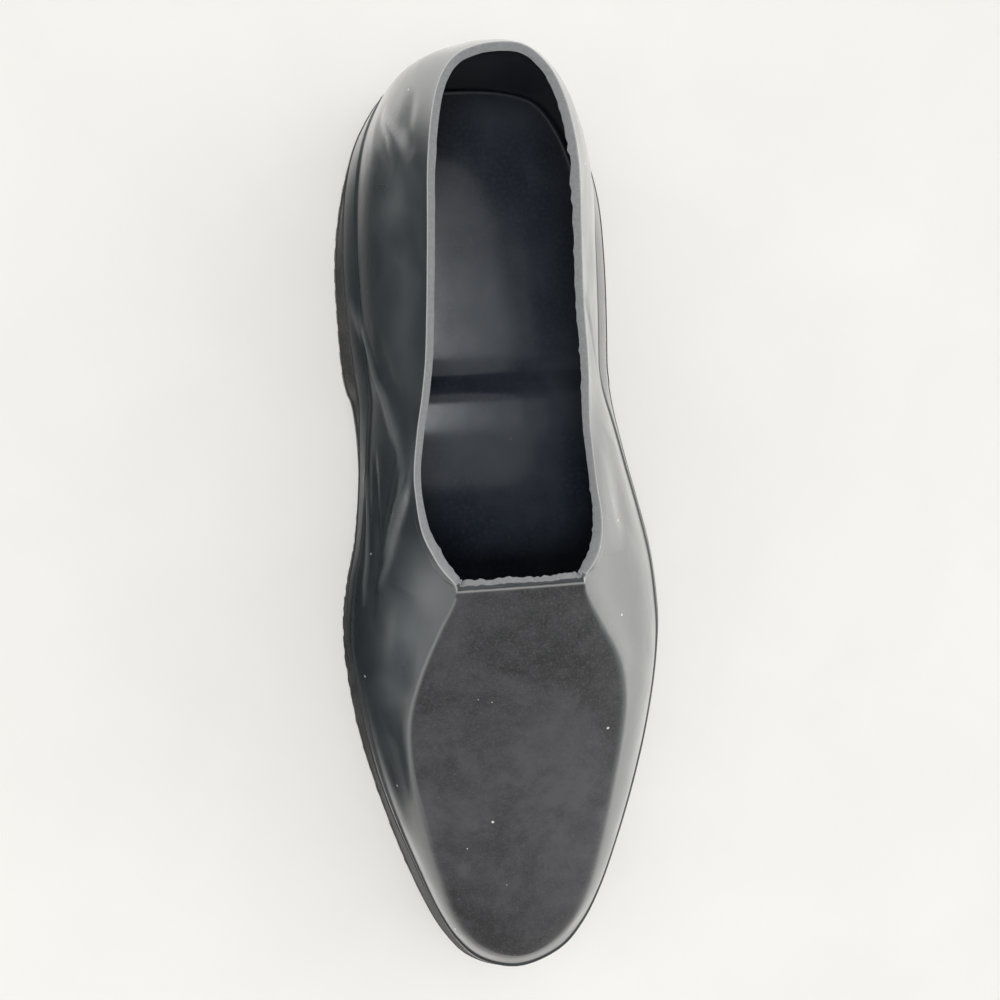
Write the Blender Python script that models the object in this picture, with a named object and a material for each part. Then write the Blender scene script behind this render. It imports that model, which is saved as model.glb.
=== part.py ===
"""Left rubber overshoe: a low, slip-on rubber with an open collar and a flat vamp panel.

The shoe stands on its sole with the toe towards -Y and the lateral side towards +X.
Tables give sizes in millimetres, measured from the back of the heel (station) and
from the heel's middle line (offset, minus on the medial side).
"""
import math

import bmesh
import bpy
import numpy as np
from mathutils import Vector

MM = 0.001

# Walls and fits
WALL = 2.3            # rubber wall of the upper
RAND_HEIGHT = 9.0     # thicker band round the foot of the upper
RAND_STEP = 0.8       # how far that band's top edge stands out
THROAT_BAND = 4.4     # raised edge band round the throat
THROAT_STEP = 1.1     # how far that band stands out
THROAT_BAND_STARTS = 134.0    # station where the band begins to rise
THROAT_BAND_FULL = 156.0      # station where it has its full height
EDGE_SLOPE = 0.9      # width of the little slope beside a raised band
INSOLE_THICK = 1.5    # moulded inner floor
FIT = 0.3             # clear gap between two pieces that touch
INSOLE_INSET = 0.75   # insole edge to the inner wall at the floor
INSOLE_SEAT = 0.45    # insole's underside above the sole
FOOT_UPRIGHT = 0.42   # share of the wall's height that leaves the foot upright
TOP_UPRIGHT = 0.24    # share of it that comes up to the edge upright
SHARP_EDGE = 38.0     # faces that meet at more degrees than this keep a crisp edge

# Sole
SOLE_LIP = 0.4        # sole's top edge beyond the foot of the rand
TREAD_LAYER = 3.0     # height of the tread layer's own edge
TREAD_LEDGE = 0.7     # how far the tread layer stands out
TREAD_DRAFT = 0.3     # how far the tread's side leans in over its height
LEDGE_CORNER = 0.5    # height of the small corner above the ledge
GROOVE_WIDTH = 2.6
GROOVE_DEPTH = 1.7
GROOVE_PITCH = 7.0
HEEL_TREAD = (11.0, 96.0)        # first and last groove of the heel, by station
FORE_TREAD = (176.0, 305.0)      # first and last groove of the forefoot
GROOVE_REACH = (-75.0, 85.0)     # ends of a groove's bar, past both sides of the sole
GROOVE_START = 3.0               # how far below the sole a bar starts

# Mesh density
RIB_SPACING = 7.5                # walk between two ribs round the shoe
CLOSE_RIBS = 2                   # least ribs in each section at the ends and the breast
CLOSE_SECTIONS = (0, 1, 2, 3, 7, 8, 9, 10, 22, 23, 24, 25)
WALL_ROWS = 6                    # rows of the plain wall between rand and edge band
PANEL_COLUMNS = 8                # strips across the vamp panel
THROAT_SPLITS = (0.0, 0.31, 0.39, 0.7)   # ribs just ahead of the throat corner

# One row for each section, from the heel's back to the toe.
# foot: where the upper's wall meets the sole; top: collar edge as far as the
# throat corner, then the ridge round the vamp panel.
SECTION_COLUMNS = ("foot_s", "foot_med", "foot_lat", "top_s", "top_med", "top_lat", "top_z")
SECTIONS = (
    (2.2, 0.6, 0.6, 11.6, 1.4, 1.4, 84.2),
    (3.0, -12.5, 13.5, 12.3, -5.6, 6.4, 84.0),
    (6.3, -25.0, 24.6, 14.8, -12.0, 10.6, 83.6),
    (14.0, -31.6, 32.0, 20.0, -16.4, 15.2, 82.6),
    (26.0, -36.5, 37.8, 29.0, -19.1, 19.3, 80.7),
    (41.5, -39.2, 41.4, 42.0, -20.6, 22.3, 77.6),
    (60.0, -40.4, 42.4, 60.0, -21.2, 23.4, 73.3),
    (80.0, -40.3, 42.7, 79.0, -22.0, 24.3, 69.5),
    (96.0, -39.6, 42.4, 94.0, -22.9, 25.6, 67.0),
    (104.0, -39.3, 42.3, 101.5, -23.8, 26.0, 66.0),
    (109.0, -39.5, 43.0, 107.0, -24.6, 26.1, 65.2),
    (119.0, -40.8, 46.2, 117.0, -26.4, 26.3, 64.4),
    (134.0, -42.0, 50.8, 131.0, -27.9, 27.5, 64.1),
    (149.0, -43.6, 55.4, 145.0, -26.2, 28.4, 65.0),
    (160.0, -45.2, 58.5, 154.5, -22.0, 26.4, 66.8),
    (169.0, -47.3, 60.5, 164.0, -17.4, 21.6, 69.8),
    (181.0, -48.9, 62.2, 177.5, -22.6, 27.2, 63.8),
    (194.0, -49.5, 62.8, 192.0, -28.3, 34.8, 57.8),
    (209.0, -47.4, 61.5, 208.0, -32.4, 38.1, 51.8),
    (225.0, -45.0, 58.8, 225.0, -32.5, 37.3, 46.8),
    (241.0, -41.8, 55.2, 241.0, -29.9, 34.9, 43.4),
    (258.0, -36.9, 50.0, 257.0, -26.6, 32.1, 40.6),
    (274.0, -31.1, 43.8, 272.0, -22.9, 28.8, 38.2),
    (289.0, -25.3, 37.2, 285.0, -19.0, 24.8, 36.2),
    (301.5, -19.0, 29.8, 295.0, -13.4, 18.8, 34.6),
    (310.8, -10.6, 20.4, 301.2, -6.0, 11.6, 33.5),
    (315.4, 4.0, 4.0, 303.6, 3.0, 3.0, 33.1),
)
THROAT_SECTION = 15

# The same sections: how far the wall swells above its foot (low) and below its top
# (high), how far the rand's foot and the tread edge stand beyond it, and the
# crown of the vamp panel.
SWELL_COLUMNS = (
    "low_med", "low_lat", "high_med", "high_lat",
    "rand_med", "rand_lat", "sole_med", "sole_lat", "crown",
)
SWELLS = (
    (1.2, 1.2, 8.0, 8.0, 1.2, 1.2, 1.6, 1.6, 0.0),
    (0.8, 0.6, 9.2, 8.2, 1.2, 1.3, 1.5, 1.7, 0.0),
    (0.8, 0.6, 9.8, 8.2, 1.4, 1.7, 1.7, 2.0, 0.0),
    (0.2, 0.2, 7.8, 7.4, 1.7, 2.4, 2.0, 2.8, 0.0),
    (-0.4, -0.4, 5.6, 6.2, 2.8, 3.5, 3.4, 4.3, 0.0),
    (-0.8, -1.0, 4.6, 4.4, 3.5, 4.2, 5.2, 5.4, 0.0),
    (-1.2, -1.4, 4.0, 2.8, 3.7, 4.7, 6.8, 6.1, 0.0),
    (-1.6, -1.4, 3.8, 2.8, 3.6, 4.7, 7.2, 6.1, 0.0),
    (-2.0, -1.6, 3.8, 2.8, 3.2, 4.7, 7.4, 6.1, 0.0),
    (-2.4, -1.8, 4.0, 3.0, 2.8, 4.3, 6.6, 5.5, 0.0),
    (-2.6, -2.0, 4.4, 3.4, 2.3, 3.4, 5.0, 4.2, 0.0),
    (-3.0, -2.8, 5.0, 5.4, 1.5, 1.9, 2.6, 2.4, 0.0),
    (-3.0, -4.0, 6.2, 9.0, 1.1, 1.2, 1.3, 1.6, 0.0),
    (-2.6, -4.5, 8.0, 11.0, 1.0, 1.0, 1.2, 1.5, 0.0),
    (-2.0, -5.0, 10.5, 13.4, 1.0, 1.0, 1.3, 1.6, 0.0),
    (-1.6, -5.2, 13.5, 17.0, 1.0, 1.0, 1.5, 1.7, 0.4),
    (-1.2, -5.5, 11.6, 16.5, 1.0, 1.0, 2.2, 2.0, 1.4),
    (-1.0, -5.5, 9.6, 14.5, 1.0, 1.0, 2.5, 2.2, 2.2),
    (-1.0, -5.0, 8.2, 12.5, 1.0, 1.0, 3.7, 2.4, 2.6),
    (-1.0, -4.4, 7.4, 11.4, 1.0, 1.0, 3.9, 2.7, 2.7),
    (-1.0, -4.0, 7.0, 10.4, 1.0, 1.0, 3.7, 3.0, 2.6),
    (-1.0, -3.4, 6.6, 9.0, 1.0, 1.0, 3.9, 2.9, 2.5),
    (-0.8, -2.4, 6.0, 7.6, 1.0, 1.0, 4.5, 2.6, 2.4),
    (-0.6, -1.6, 5.2, 5.8, 1.0, 1.0, 4.6, 2.6, 2.2),
    (-0.4, -0.8, 4.4, 4.5, 1.0, 1.0, 4.5, 2.8, 1.6),
    (-0.2, -0.3, 3.7, 3.7, 1.0, 1.0, 4.4, 3.6, 0.8),
    (0.0, 0.0, 3.3, 3.3, 1.0, 1.0, 4.2, 4.2, 0.0),
)

# Heights along the shoe: the sole's underside, and its top where the upper stands.
LEVEL_COLUMNS = ("station", "under", "top")
LEVELS = (
    (-5.0, 0.0, 6.6),
    (60.0, 0.0, 6.5),
    (92.0, 0.0, 6.7),
    (99.0, 0.0, 7.4),
    (104.0, 0.0, 10.4),
    (109.0, 6.0, 12.6),
    (118.0, 6.8, 12.8),
    (134.0, 5.6, 11.4),
    (152.0, 3.2, 9.0),
    (170.0, 0.9, 7.0),
    (184.0, 0.0, 6.1),
    (240.0, 0.0, 6.1),
    (258.0, 0.7, 6.8),
    (276.0, 2.3, 8.3),
    (294.0, 4.8, 10.6),
    (308.0, 7.2, 12.8),
    (322.0, 9.8, 15.2),
)


def column(table, names, name):
    """One named column of a table as numbers."""
    return np.array([row[names.index(name)] for row in table], dtype=float)


def section(name):
    return column(SECTIONS, SECTION_COLUMNS, name)


def swell(name):
    return column(SWELLS, SWELL_COLUMNS, name)


def monotone_curve(xs, ys, x):
    """Smooth curve through rising stations that never overshoots between them."""
    slopes = np.diff(ys) / np.diff(xs)
    turns = np.zeros(len(xs))
    for i in range(1, len(xs) - 1):
        if slopes[i - 1] * slopes[i] > 0.0:
            turns[i] = 2.0 * slopes[i - 1] * slopes[i] / (slopes[i - 1] + slopes[i])
    x = min(max(x, xs[0]), xs[-1])
    i = min(int(np.searchsorted(xs, x, side="right")) - 1, len(xs) - 2)
    step = xs[i + 1] - xs[i]
    t = (x - xs[i]) / step
    return (
        (1.0 + 2.0 * t) * (1.0 - t) ** 2 * ys[i]
        + t * (1.0 - t) ** 2 * step * turns[i]
        + t * t * (3.0 - 2.0 * t) * ys[i + 1]
        + t * t * (t - 1.0) * step * turns[i + 1]
    )


def level(name, station):
    """Height of the sole's underside or top at one station."""
    stations = column(LEVELS, LEVEL_COLUMNS, "station")
    return monotone_curve(stations, column(LEVELS, LEVEL_COLUMNS, name), station)


def through(points, i, t):
    """Catmull-Rom step between row i and i + 1 of a closed list of rows."""
    n = len(points)
    before, here, there, after = (points[(i + k) % n] for k in (-1, 0, 1, 2))
    return 0.5 * (
        2.0 * here
        + (there - before) * t
        + (2.0 * before - 5.0 * here + 4.0 * there - after) * t * t
        + (3.0 * here - before - 3.0 * there + after) * t ** 3
    )


def rib_rows():
    """All ribs round the shoe: heel back, medial side, toe, then lateral side back.

    Each rib is (foot_x, foot_s, top_x, top_s, top_z, low, high, rand, sole, crown).
    Returns the ribs and the index of the toe rib and of the two throat corners.
    """
    sides = {}
    for side in ("med", "lat"):
        sides[side] = np.column_stack((
            section("foot_" + side), section("foot_s"),
            section("top_" + side), section("top_s"), section("top_z"),
            swell("low_" + side), swell("high_" + side), swell("rand_" + side),
            swell("sole_" + side), swell("crown"),
        ))
    last = len(SECTIONS) - 1
    closed = np.vstack((sides["med"], sides["lat"][last - 1:0:-1]))
    spans = [rib_steps(sides, k) for k in range(last)]
    ribs = []
    for k in range(last):
        ribs += [through(closed, k, t) for t in spans[k]]
    toe = len(ribs)
    for k in range(last - 1, -1, -1):
        backwards = [0.0] + [1.0 - t for t in reversed(spans[k][1:])]
        ribs += [through(closed, 2 * last - 1 - k, t) for t in backwards]
    corner = sum(len(spans[k]) for k in range(THROAT_SECTION))
    return np.array(ribs), toe, corner, len(ribs) - corner


def rib_steps(sides, k):
    """Where the ribs stand between section k and the next, as shares of the way."""
    if k == THROAT_SECTION:
        return list(THROAT_SPLITS)
    walk = max(math.dist(rows[k][:2], rows[k + 1][:2]) for rows in sides.values())
    least = CLOSE_RIBS if k in CLOSE_SECTIONS else 1
    count = max(least, round(walk / RIB_SPACING))
    return [j / count for j in range(count)]


def ring_normals(ring):
    """Outward directions across a closed outline that starts at the back of the heel."""
    along = np.roll(ring, -1, axis=0) - np.roll(ring, 1, axis=0)
    across = np.column_stack((-along[:, 1], along[:, 0]))
    across /= np.linalg.norm(across, axis=1)[:, None]
    return across if across[0][1] <= 0.0 else -across


def bezier(points, t):
    a, b, c, d = points
    return (
        (1.0 - t) ** 3 * a + 3.0 * t * (1.0 - t) ** 2 * b
        + 3.0 * t * t * (1.0 - t) * c + t ** 3 * d
    )


def wall_profile(rib, outward):
    """Points up one rib, from the foot to the collar edge or the panel's ridge."""
    foot_x, foot_s, top_x, top_s, top_z, low, high = rib[:7]
    foot = np.array((foot_x, foot_s, level("top", foot_s) + FIT))
    top = np.array((top_x, top_s, top_z))
    lean = foot[:2] - top[:2]
    lean /= np.linalg.norm(lean)
    rise = top[2] - foot[2]
    handles = (
        foot,
        foot + np.array((outward[0] * low, outward[1] * low, FOOT_UPRIGHT * rise)),
        top + np.array((lean[0] * high, lean[1] * high, -TOP_UPRIGHT * rise)),
        top,
    )
    fine = np.array([bezier(handles, t) for t in np.linspace(0.0, 1.0, 41)])
    walk = np.concatenate(((0.0,), np.cumsum(np.linalg.norm(np.diff(fine, axis=0), axis=1))))
    stops = wall_stops(walk[-1])
    return np.column_stack([np.interp(stops, walk, fine[:, k]) for k in range(3)])


def wall_stops(length):
    """Distances up the wall where its rows lie, dense at the rand and the edge band."""
    rand = min(RAND_HEIGHT, 0.45 * length)
    lower = [0.0, 0.5 * rand, rand, rand + EDGE_SLOPE]
    upper = [length - THROAT_BAND - EDGE_SLOPE, length - THROAT_BAND, length]
    plain = np.linspace(lower[-1], upper[0], WALL_ROWS + 1)[1:-1]
    return np.concatenate((lower, plain, upper))


def upper_surface():
    """The outer form as one open skin, before its raised bands are added."""
    ribs, toe, corner_med, corner_lat = rib_rows()
    outward = ring_normals(ribs[:, :2])
    count = len(ribs)
    rows = [wall_profile(ribs[i], outward[i]) for i in range(count)]
    levels = len(rows[0])
    points = [p for row in rows for p in row]
    faces = []
    for i in range(count):
        j = (i + 1) % count
        for k in range(levels - 1):
            faces.append((i * levels + k, j * levels + k, j * levels + k + 1, i * levels + k + 1))
    panel = []
    for step in range(toe - corner_med):
        med = (corner_med + step) * levels + levels - 1
        lat = ((count - corner_med - step) % count) * levels + levels - 1
        crown = ribs[corner_med + step][9]
        strip = [med]
        for m in range(1, PANEL_COLUMNS):
            t = m / PANEL_COLUMNS
            p = (1.0 - t) * points[med] + t * points[lat]
            p = p + np.array((0.0, 0.0, crown * (1.0 - (2.0 * t - 1.0) ** 2)))
            strip.append(len(points))
            points.append(p)
        panel.append(strip + [lat])
    for one, two in zip(panel, panel[1:]):
        for m in range(PANEL_COLUMNS):
            faces.append((one[m], one[m + 1], two[m + 1], two[m]))
    tip = toe * levels + levels - 1
    for m in range(PANEL_COLUMNS):
        faces.append((panel[-1][m], panel[-1][m + 1], tip))
    collar_loop = [i * levels + levels - 1 for i in range(corner_lat, count)]
    collar_loop += [i * levels + levels - 1 for i in range(corner_med + 1)]
    collar_loop += panel[0][1:-1]
    rand = {}
    for i in range(count):
        for k, share in enumerate((1.0, 0.5, 0.0)):
            rand[i * levels + k] = share * ribs[i][7] + (1.0 - share) * RAND_STEP
    foot_loop = [i * levels for i in range(count)]
    return np.array(points), faces, foot_loop, collar_loop, rand


def skin_normals(points, faces):
    """Outward direction at every point of an open skin."""
    mesh = bmesh.new()
    verts = [mesh.verts.new(p) for p in points]
    for face in faces:
        mesh.faces.new([verts[i] for i in face])
    bmesh.ops.recalc_face_normals(mesh, faces=mesh.faces)
    mesh.normal_update()
    normals = np.array([v.normal[:] for v in verts])
    mesh.free()
    heel = int(np.argmin(points[:, 1]))
    return normals if normals[heel][1] < 0.0 else -normals


def edge_distance(point, loop):
    """Shortest way from a point to a closed line of points."""
    starts = loop
    ends = np.roll(loop, -1, axis=0)
    spans = ends - starts
    share = np.einsum("ij,ij->i", point - starts, spans) / np.einsum("ij,ij->i", spans, spans)
    nearest = starts + np.clip(share, 0.0, 1.0)[:, None] * spans
    gaps = np.linalg.norm(point - nearest, axis=1)
    return gaps.min(), nearest[int(gaps.argmin())]


def throat_band(point, collar):
    """Height of the raised band at a point: full at the throat, fading down the sides."""
    gap, edge = edge_distance(point, collar)
    if gap > THROAT_BAND + 0.5 * EDGE_SLOPE:
        return 0.0
    fade = (edge[1] - THROAT_BAND_STARTS) / (THROAT_BAND_FULL - THROAT_BAND_STARTS)
    return THROAT_STEP * min(1.0, max(0.0, fade))


def upper_object():
    """Hollow upper: outer skin with its raised bands, inner skin one wall inside."""
    points, faces, foot_loop, collar_loop, rand = upper_surface()
    normals = skin_normals(points, faces)
    collar = points[collar_loop]
    outer = points.copy()
    inner = points.copy()
    for i, point in enumerate(points):
        raised = rand[i] if i in rand else throat_band(point, collar)
        outer[i] = point + normals[i] * raised
        inner[i] = point - normals[i] * WALL
    for i in foot_loop:
        flat = normals[i] * np.array((1.0, 1.0, 0.0))
        flat /= np.linalg.norm(flat)
        outer[i] = points[i] + flat * rand[i]
        inner[i] = points[i] - flat * WALL
        for skin in (outer, inner):
            skin[i][2] = level("top", skin[i][1]) + FIT
    total = len(points)
    all_faces = list(faces) + [tuple(i + total for i in reversed(face)) for face in faces]
    for loop in (foot_loop, collar_loop):
        for a, b in zip(loop, loop[1:] + loop[:1]):
            all_faces.append((a, b, b + total, a + total))
    return add_object("upper", np.vstack((outer, inner)), all_faces, "rubber_upper"), inner[foot_loop]


def ring_solid(rings, toe):
    """Closed body from stacked outlines; its two caps are strips from side to side."""
    count = len(rings[0])
    points = [p for ring in rings for p in ring]
    faces = []
    for k in range(len(rings) - 1):
        for i in range(count):
            j = (i + 1) % count
            faces.append((k * count + i, k * count + j, (k + 1) * count + j, (k + 1) * count + i))
    for base in (0, (len(rings) - 1) * count):
        faces.append((base, base + 1, base + count - 1))
        for i in range(1, toe - 1):
            faces.append((base + i, base + i + 1, base + count - i - 1, base + count - i))
        faces.append((base + toe - 1, base + toe, base + toe + 1))
    return points, faces


def outsole_object():
    """Sole with its heel, waist and toe spring, its ledge and the tread's grooves."""
    ribs, toe, _, _ = rib_rows()
    foot = ribs[:, :2]
    outward = ring_normals(foot)
    spread = ribs[:, 8]
    floor, shelf, groove, rim = [], [], [], []
    for i in range(len(foot)):
        for ring, reach, lift in (
            (floor, spread[i], 0.0),
            (shelf, spread[i] - TREAD_DRAFT, TREAD_LAYER),
            (groove, spread[i] - TREAD_LEDGE - TREAD_DRAFT, TREAD_LAYER + LEDGE_CORNER),
            (rim, ribs[i][7] + SOLE_LIP, None),
        ):
            px, ps = foot[i] + outward[i] * reach
            base = level("under", ps)
            height = level("top", ps) if lift is None else base + lift
            ring.append((px, ps, height))
    points, faces = ring_solid((floor, shelf, groove, rim), toe)
    sole = add_object("outsole", points, faces, "rubber_sole")
    cutter = groove_cutter()
    cut = sole.modifiers.new("tread_grooves", "BOOLEAN")
    cut.operation = "DIFFERENCE"
    cut.solver = "EXACT"
    cut.object = cutter
    return sole, cutter


def groove_cutter():
    """Bars across the sole, one for each groove of the tread."""
    points, faces = [], []
    for first, last in (HEEL_TREAD, FORE_TREAD):
        count = round((last - first) / GROOVE_PITCH)
        for n in range(count + 1):
            s = first + (last - first) * n / count
            start = len(points)
            for side in (-1.0, 1.0):
                station = s + side * 0.5 * GROOVE_WIDTH
                under = level("under", station)
                for x in GROOVE_REACH:
                    points.append((x, station, under - GROOVE_START))
                    points.append((x, station, under + GROOVE_DEPTH))
            for quad in ((0, 1, 3, 2), (4, 6, 7, 5), (0, 4, 5, 1), (2, 3, 7, 6), (0, 2, 6, 4), (1, 5, 7, 3)):
                faces.append(tuple(start + q for q in quad))
    cutter = add_object("tread_cutter", points, faces, "rubber_sole")
    cutter.hide_render = True
    cutter.display_type = "WIRE"
    return cutter


def insole_object(inner_foot):
    """Inner floor that fills the foot of the upper, low under the heel."""
    _, toe, _, _ = rib_rows()
    outline = inner_foot[:, :2]
    outward = ring_normals(outline)
    inset = outline - outward * INSOLE_INSET
    low = [(x, s, level("top", s) + INSOLE_SEAT) for x, s in inset]
    high = [(x, s, level("top", s) + INSOLE_SEAT + INSOLE_THICK) for x, s in inset]
    points, faces = ring_solid((low, high), toe)
    return add_object("insole", points, faces, "rubber_insole")


MATERIALS = {
    "rubber_upper": ((0.028, 0.030, 0.033, 1.0), 0.28),
    "rubber_sole": ((0.020, 0.021, 0.022, 1.0), 0.50),
    "rubber_insole": ((0.016, 0.018, 0.022, 1.0), 0.42),
}


def rubber(name):
    """Plain rubber material in the part's own colour."""
    material = bpy.data.materials.get(name)
    if material is None:
        colour, roughness = MATERIALS[name]
        material = bpy.data.materials.new(name)
        material.use_nodes = True
        shader = material.node_tree.nodes["Principled BSDF"]
        shader.inputs["Base Color"].default_value = colour
        shader.inputs["Roughness"].default_value = roughness
        shader.inputs["Metallic"].default_value = 0.0
    return material


def place(point):
    """Table sizes to the shoe's own frame: toe towards -Y, lateral side towards +X."""
    x, station, z = point
    return Vector((x * MM, -station * MM, z * MM))


def add_object(name, points, faces, material):
    """One closed body as an object, faces outward, shaded smooth but for its edges."""
    mesh = bpy.data.meshes.new(name)
    mesh.from_pydata([place(p) for p in points], [], [tuple(int(i) for i in f) for f in faces])
    work = bmesh.new()
    work.from_mesh(mesh)
    bmesh.ops.recalc_face_normals(work, faces=work.faces)
    work.to_mesh(mesh)
    work.free()
    mesh.materials.append(rubber(material))
    mesh.shade_smooth()
    mesh.set_sharp_from_angle(angle=math.radians(SHARP_EDGE))
    shoe_part = bpy.data.objects.new(name, mesh)
    bpy.context.scene.collection.objects.link(shoe_part)
    return shoe_part


def stand_on_origin(solids, followers):
    """Move the shoe so that it stands centred over the origin, sole on the ground."""
    corners = np.array([v.co[:] for solid in solids for v in solid.data.vertices])
    low, high = corners.min(axis=0), corners.max(axis=0)
    shift = Vector((-(low[0] + high[0]) / 2.0, -(low[1] + high[1]) / 2.0, -low[2]))
    for item in list(solids) + list(followers):
        for vertex in item.data.vertices:
            vertex.co += shift
    print("shoe moved onto its origin by (mm):", [round(v / MM, 3) for v in shift])


def build():
    for leftover in list(bpy.data.objects):
        bpy.data.objects.remove(leftover, do_unlink=True)
    upper, inner_foot = upper_object()
    sole, cutter = outsole_object()
    insole = insole_object(inner_foot)
    stand_on_origin((upper, sole, insole), (cutter,))


build()
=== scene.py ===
# %% [markdown]
# # A left rubber overshoe
# A black overshoe, moulded whole and pulled over a shoe in wet weather. It has a cut collar
# edge, a flat matte vamp panel between two ridges, shiny sides with soft folds, and a low
# sole with its heel.
# The packed CAD solids give every size. This script lays finer skins over the same
# measurements, and gives them the finish of real rubber.

import math

import bmesh
import bpy
import numpy as np
from mathutils import Matrix, Vector


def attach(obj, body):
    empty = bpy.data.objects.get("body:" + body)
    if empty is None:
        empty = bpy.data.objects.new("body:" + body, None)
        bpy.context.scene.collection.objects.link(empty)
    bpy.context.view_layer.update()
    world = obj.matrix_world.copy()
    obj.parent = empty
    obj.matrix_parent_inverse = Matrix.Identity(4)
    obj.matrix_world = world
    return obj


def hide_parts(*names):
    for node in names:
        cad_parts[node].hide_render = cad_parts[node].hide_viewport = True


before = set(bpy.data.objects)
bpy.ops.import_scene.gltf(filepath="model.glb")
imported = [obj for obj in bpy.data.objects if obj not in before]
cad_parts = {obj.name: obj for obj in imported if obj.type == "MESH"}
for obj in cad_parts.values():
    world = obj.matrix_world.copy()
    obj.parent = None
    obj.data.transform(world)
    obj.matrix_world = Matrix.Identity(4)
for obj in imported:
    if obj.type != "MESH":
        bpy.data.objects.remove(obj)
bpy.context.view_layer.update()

# %% [markdown]
# ## Camera
# The photograph was taken by hand, looking almost straight down from beside the heel. The
# camera keeps that place, roll and field of view, so the shoe shows the same sides, and it
# only turns towards the middle of the shoe. A shifted lens would frame it too, but would
# also shift every other view.

# %% Camera above the medial side of the heel
CAMERA_PLACE = Vector((-0.0555, 0.0603, 0.370))
PHOTO_RIGHT = Vector((0.99813, -0.06105, 0.0))
PHOTO_FORWARD = Vector((-0.00744, -0.12164, -0.99255))
LENS_MM = 37.19
SENSOR_MM = 36.0
NEAREST_SEEN = 0.01
SHOE_RIGHT_OF_MIDDLE = 0.1588
SHOE_ABOVE_MIDDLE = 0.0077

photo_up = PHOTO_RIGHT.cross(PHOTO_FORWARD)
forward = PHOTO_FORWARD + PHOTO_RIGHT * SHOE_RIGHT_OF_MIDDLE + photo_up * SHOE_ABOVE_MIDDLE
forward.normalize()
right = (PHOTO_RIGHT - forward * PHOTO_RIGHT.dot(forward)).normalized()
up = right.cross(forward)

lens = bpy.data.cameras.new("shoe_camera")
lens.lens = LENS_MM
lens.sensor_width = SENSOR_MM
lens.clip_start = NEAREST_SEEN
camera = bpy.data.objects.new("shoe_camera", lens)
turned = Matrix((right, up, -forward)).transposed().to_4x4()
camera.matrix_world = Matrix.Translation(CAMERA_PLACE) @ turned
bpy.context.scene.collection.objects.link(camera)
bpy.context.scene.camera = camera
print("camera looks down at", round(math.degrees(math.asin(-forward.z)), 1), "degrees")

# %% [markdown]
# ## Measurements
# A shoemaker measures the last at a row of sections, and so do these tables. Every size is
# in millimetres. A station is the way from the back of the heel, an offset the way from the
# heel's middle line, minus to the medial side. They repeat the sizes of the CAD part, so
# that the skins lie where its solids are. Only the band round the throat is narrower here,
# because a fine skin can show it as it is.

# %% Tables of the shoe's sections
MM = 0.001
CENTRE_OFFSET = 6.502    # the shoe's middle in table sizes
CENTRE_STATION = 160.1

WALL = 2.3           # rubber wall of the upper
RAND_HEIGHT = 9.0    # thicker band round the foot of the upper
RAND_STEP = 0.8      # how far that band's top edge stands out
THROAT_BAND = 2.3    # raised edge band round the throat
THROAT_STEP = 1.1    # how far that band stands out
EDGE_SLOPE = 0.7     # width of the little slope beside a raised band
FIT = 0.3            # clear gap between two pieces that touch
INSOLE_THICK = 1.5   # moulded inner floor
INSOLE_SEAT = 0.45   # its underside above the sole

SECTION_COLUMNS = ("foot_s", "foot_med", "foot_lat", "top_s", "top_med", "top_lat", "top_z")
SECTIONS = (
    (2.2, 0.6, 0.6, 11.6, 1.4, 1.4, 84.2),
    (3.0, -12.5, 13.5, 12.3, -5.6, 6.4, 84.0),
    (6.3, -25.0, 24.6, 14.8, -12.0, 10.6, 83.6),
    (14.0, -31.6, 32.0, 20.0, -16.4, 15.2, 82.6),
    (26.0, -36.5, 37.8, 29.0, -19.1, 19.3, 80.7),
    (41.5, -39.2, 41.4, 42.0, -20.6, 22.3, 77.6),
    (60.0, -40.4, 42.4, 60.0, -21.2, 23.4, 73.3),
    (80.0, -40.3, 42.7, 79.0, -22.0, 24.3, 69.5),
    (96.0, -39.6, 42.4, 94.0, -22.9, 25.6, 67.0),
    (104.0, -39.3, 42.3, 101.5, -23.8, 26.0, 66.0),
    (109.0, -39.5, 43.0, 107.0, -24.6, 26.1, 65.2),
    (119.0, -40.8, 46.2, 117.0, -26.4, 26.3, 64.4),
    (134.0, -42.0, 50.8, 131.0, -27.9, 27.5, 64.1),
    (149.0, -43.6, 55.4, 145.0, -26.2, 28.4, 65.0),
    (160.0, -45.2, 58.5, 154.5, -22.0, 26.4, 66.8),
    (169.0, -47.3, 60.5, 164.0, -17.4, 21.6, 69.8),
    (181.0, -48.9, 62.2, 177.5, -22.6, 27.2, 63.8),
    (194.0, -49.5, 62.8, 192.0, -28.3, 34.8, 57.8),
    (209.0, -47.4, 61.5, 208.0, -32.4, 38.1, 51.8),
    (225.0, -45.0, 58.8, 225.0, -32.5, 37.3, 46.8),
    (241.0, -41.8, 55.2, 241.0, -29.9, 34.9, 43.4),
    (258.0, -36.9, 50.0, 257.0, -26.6, 32.1, 40.6),
    (274.0, -31.1, 43.8, 272.0, -22.9, 28.8, 38.2),
    (289.0, -25.3, 37.2, 285.0, -19.0, 24.8, 36.2),
    (301.5, -19.0, 29.8, 295.0, -13.4, 18.8, 34.6),
    (310.8, -10.6, 20.4, 301.2, -6.0, 11.6, 33.5),
    (315.4, 4.0, 4.0, 303.6, 3.0, 3.0, 33.1),
)
THROAT_SECTION = 15  # section at the throat's corner

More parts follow.
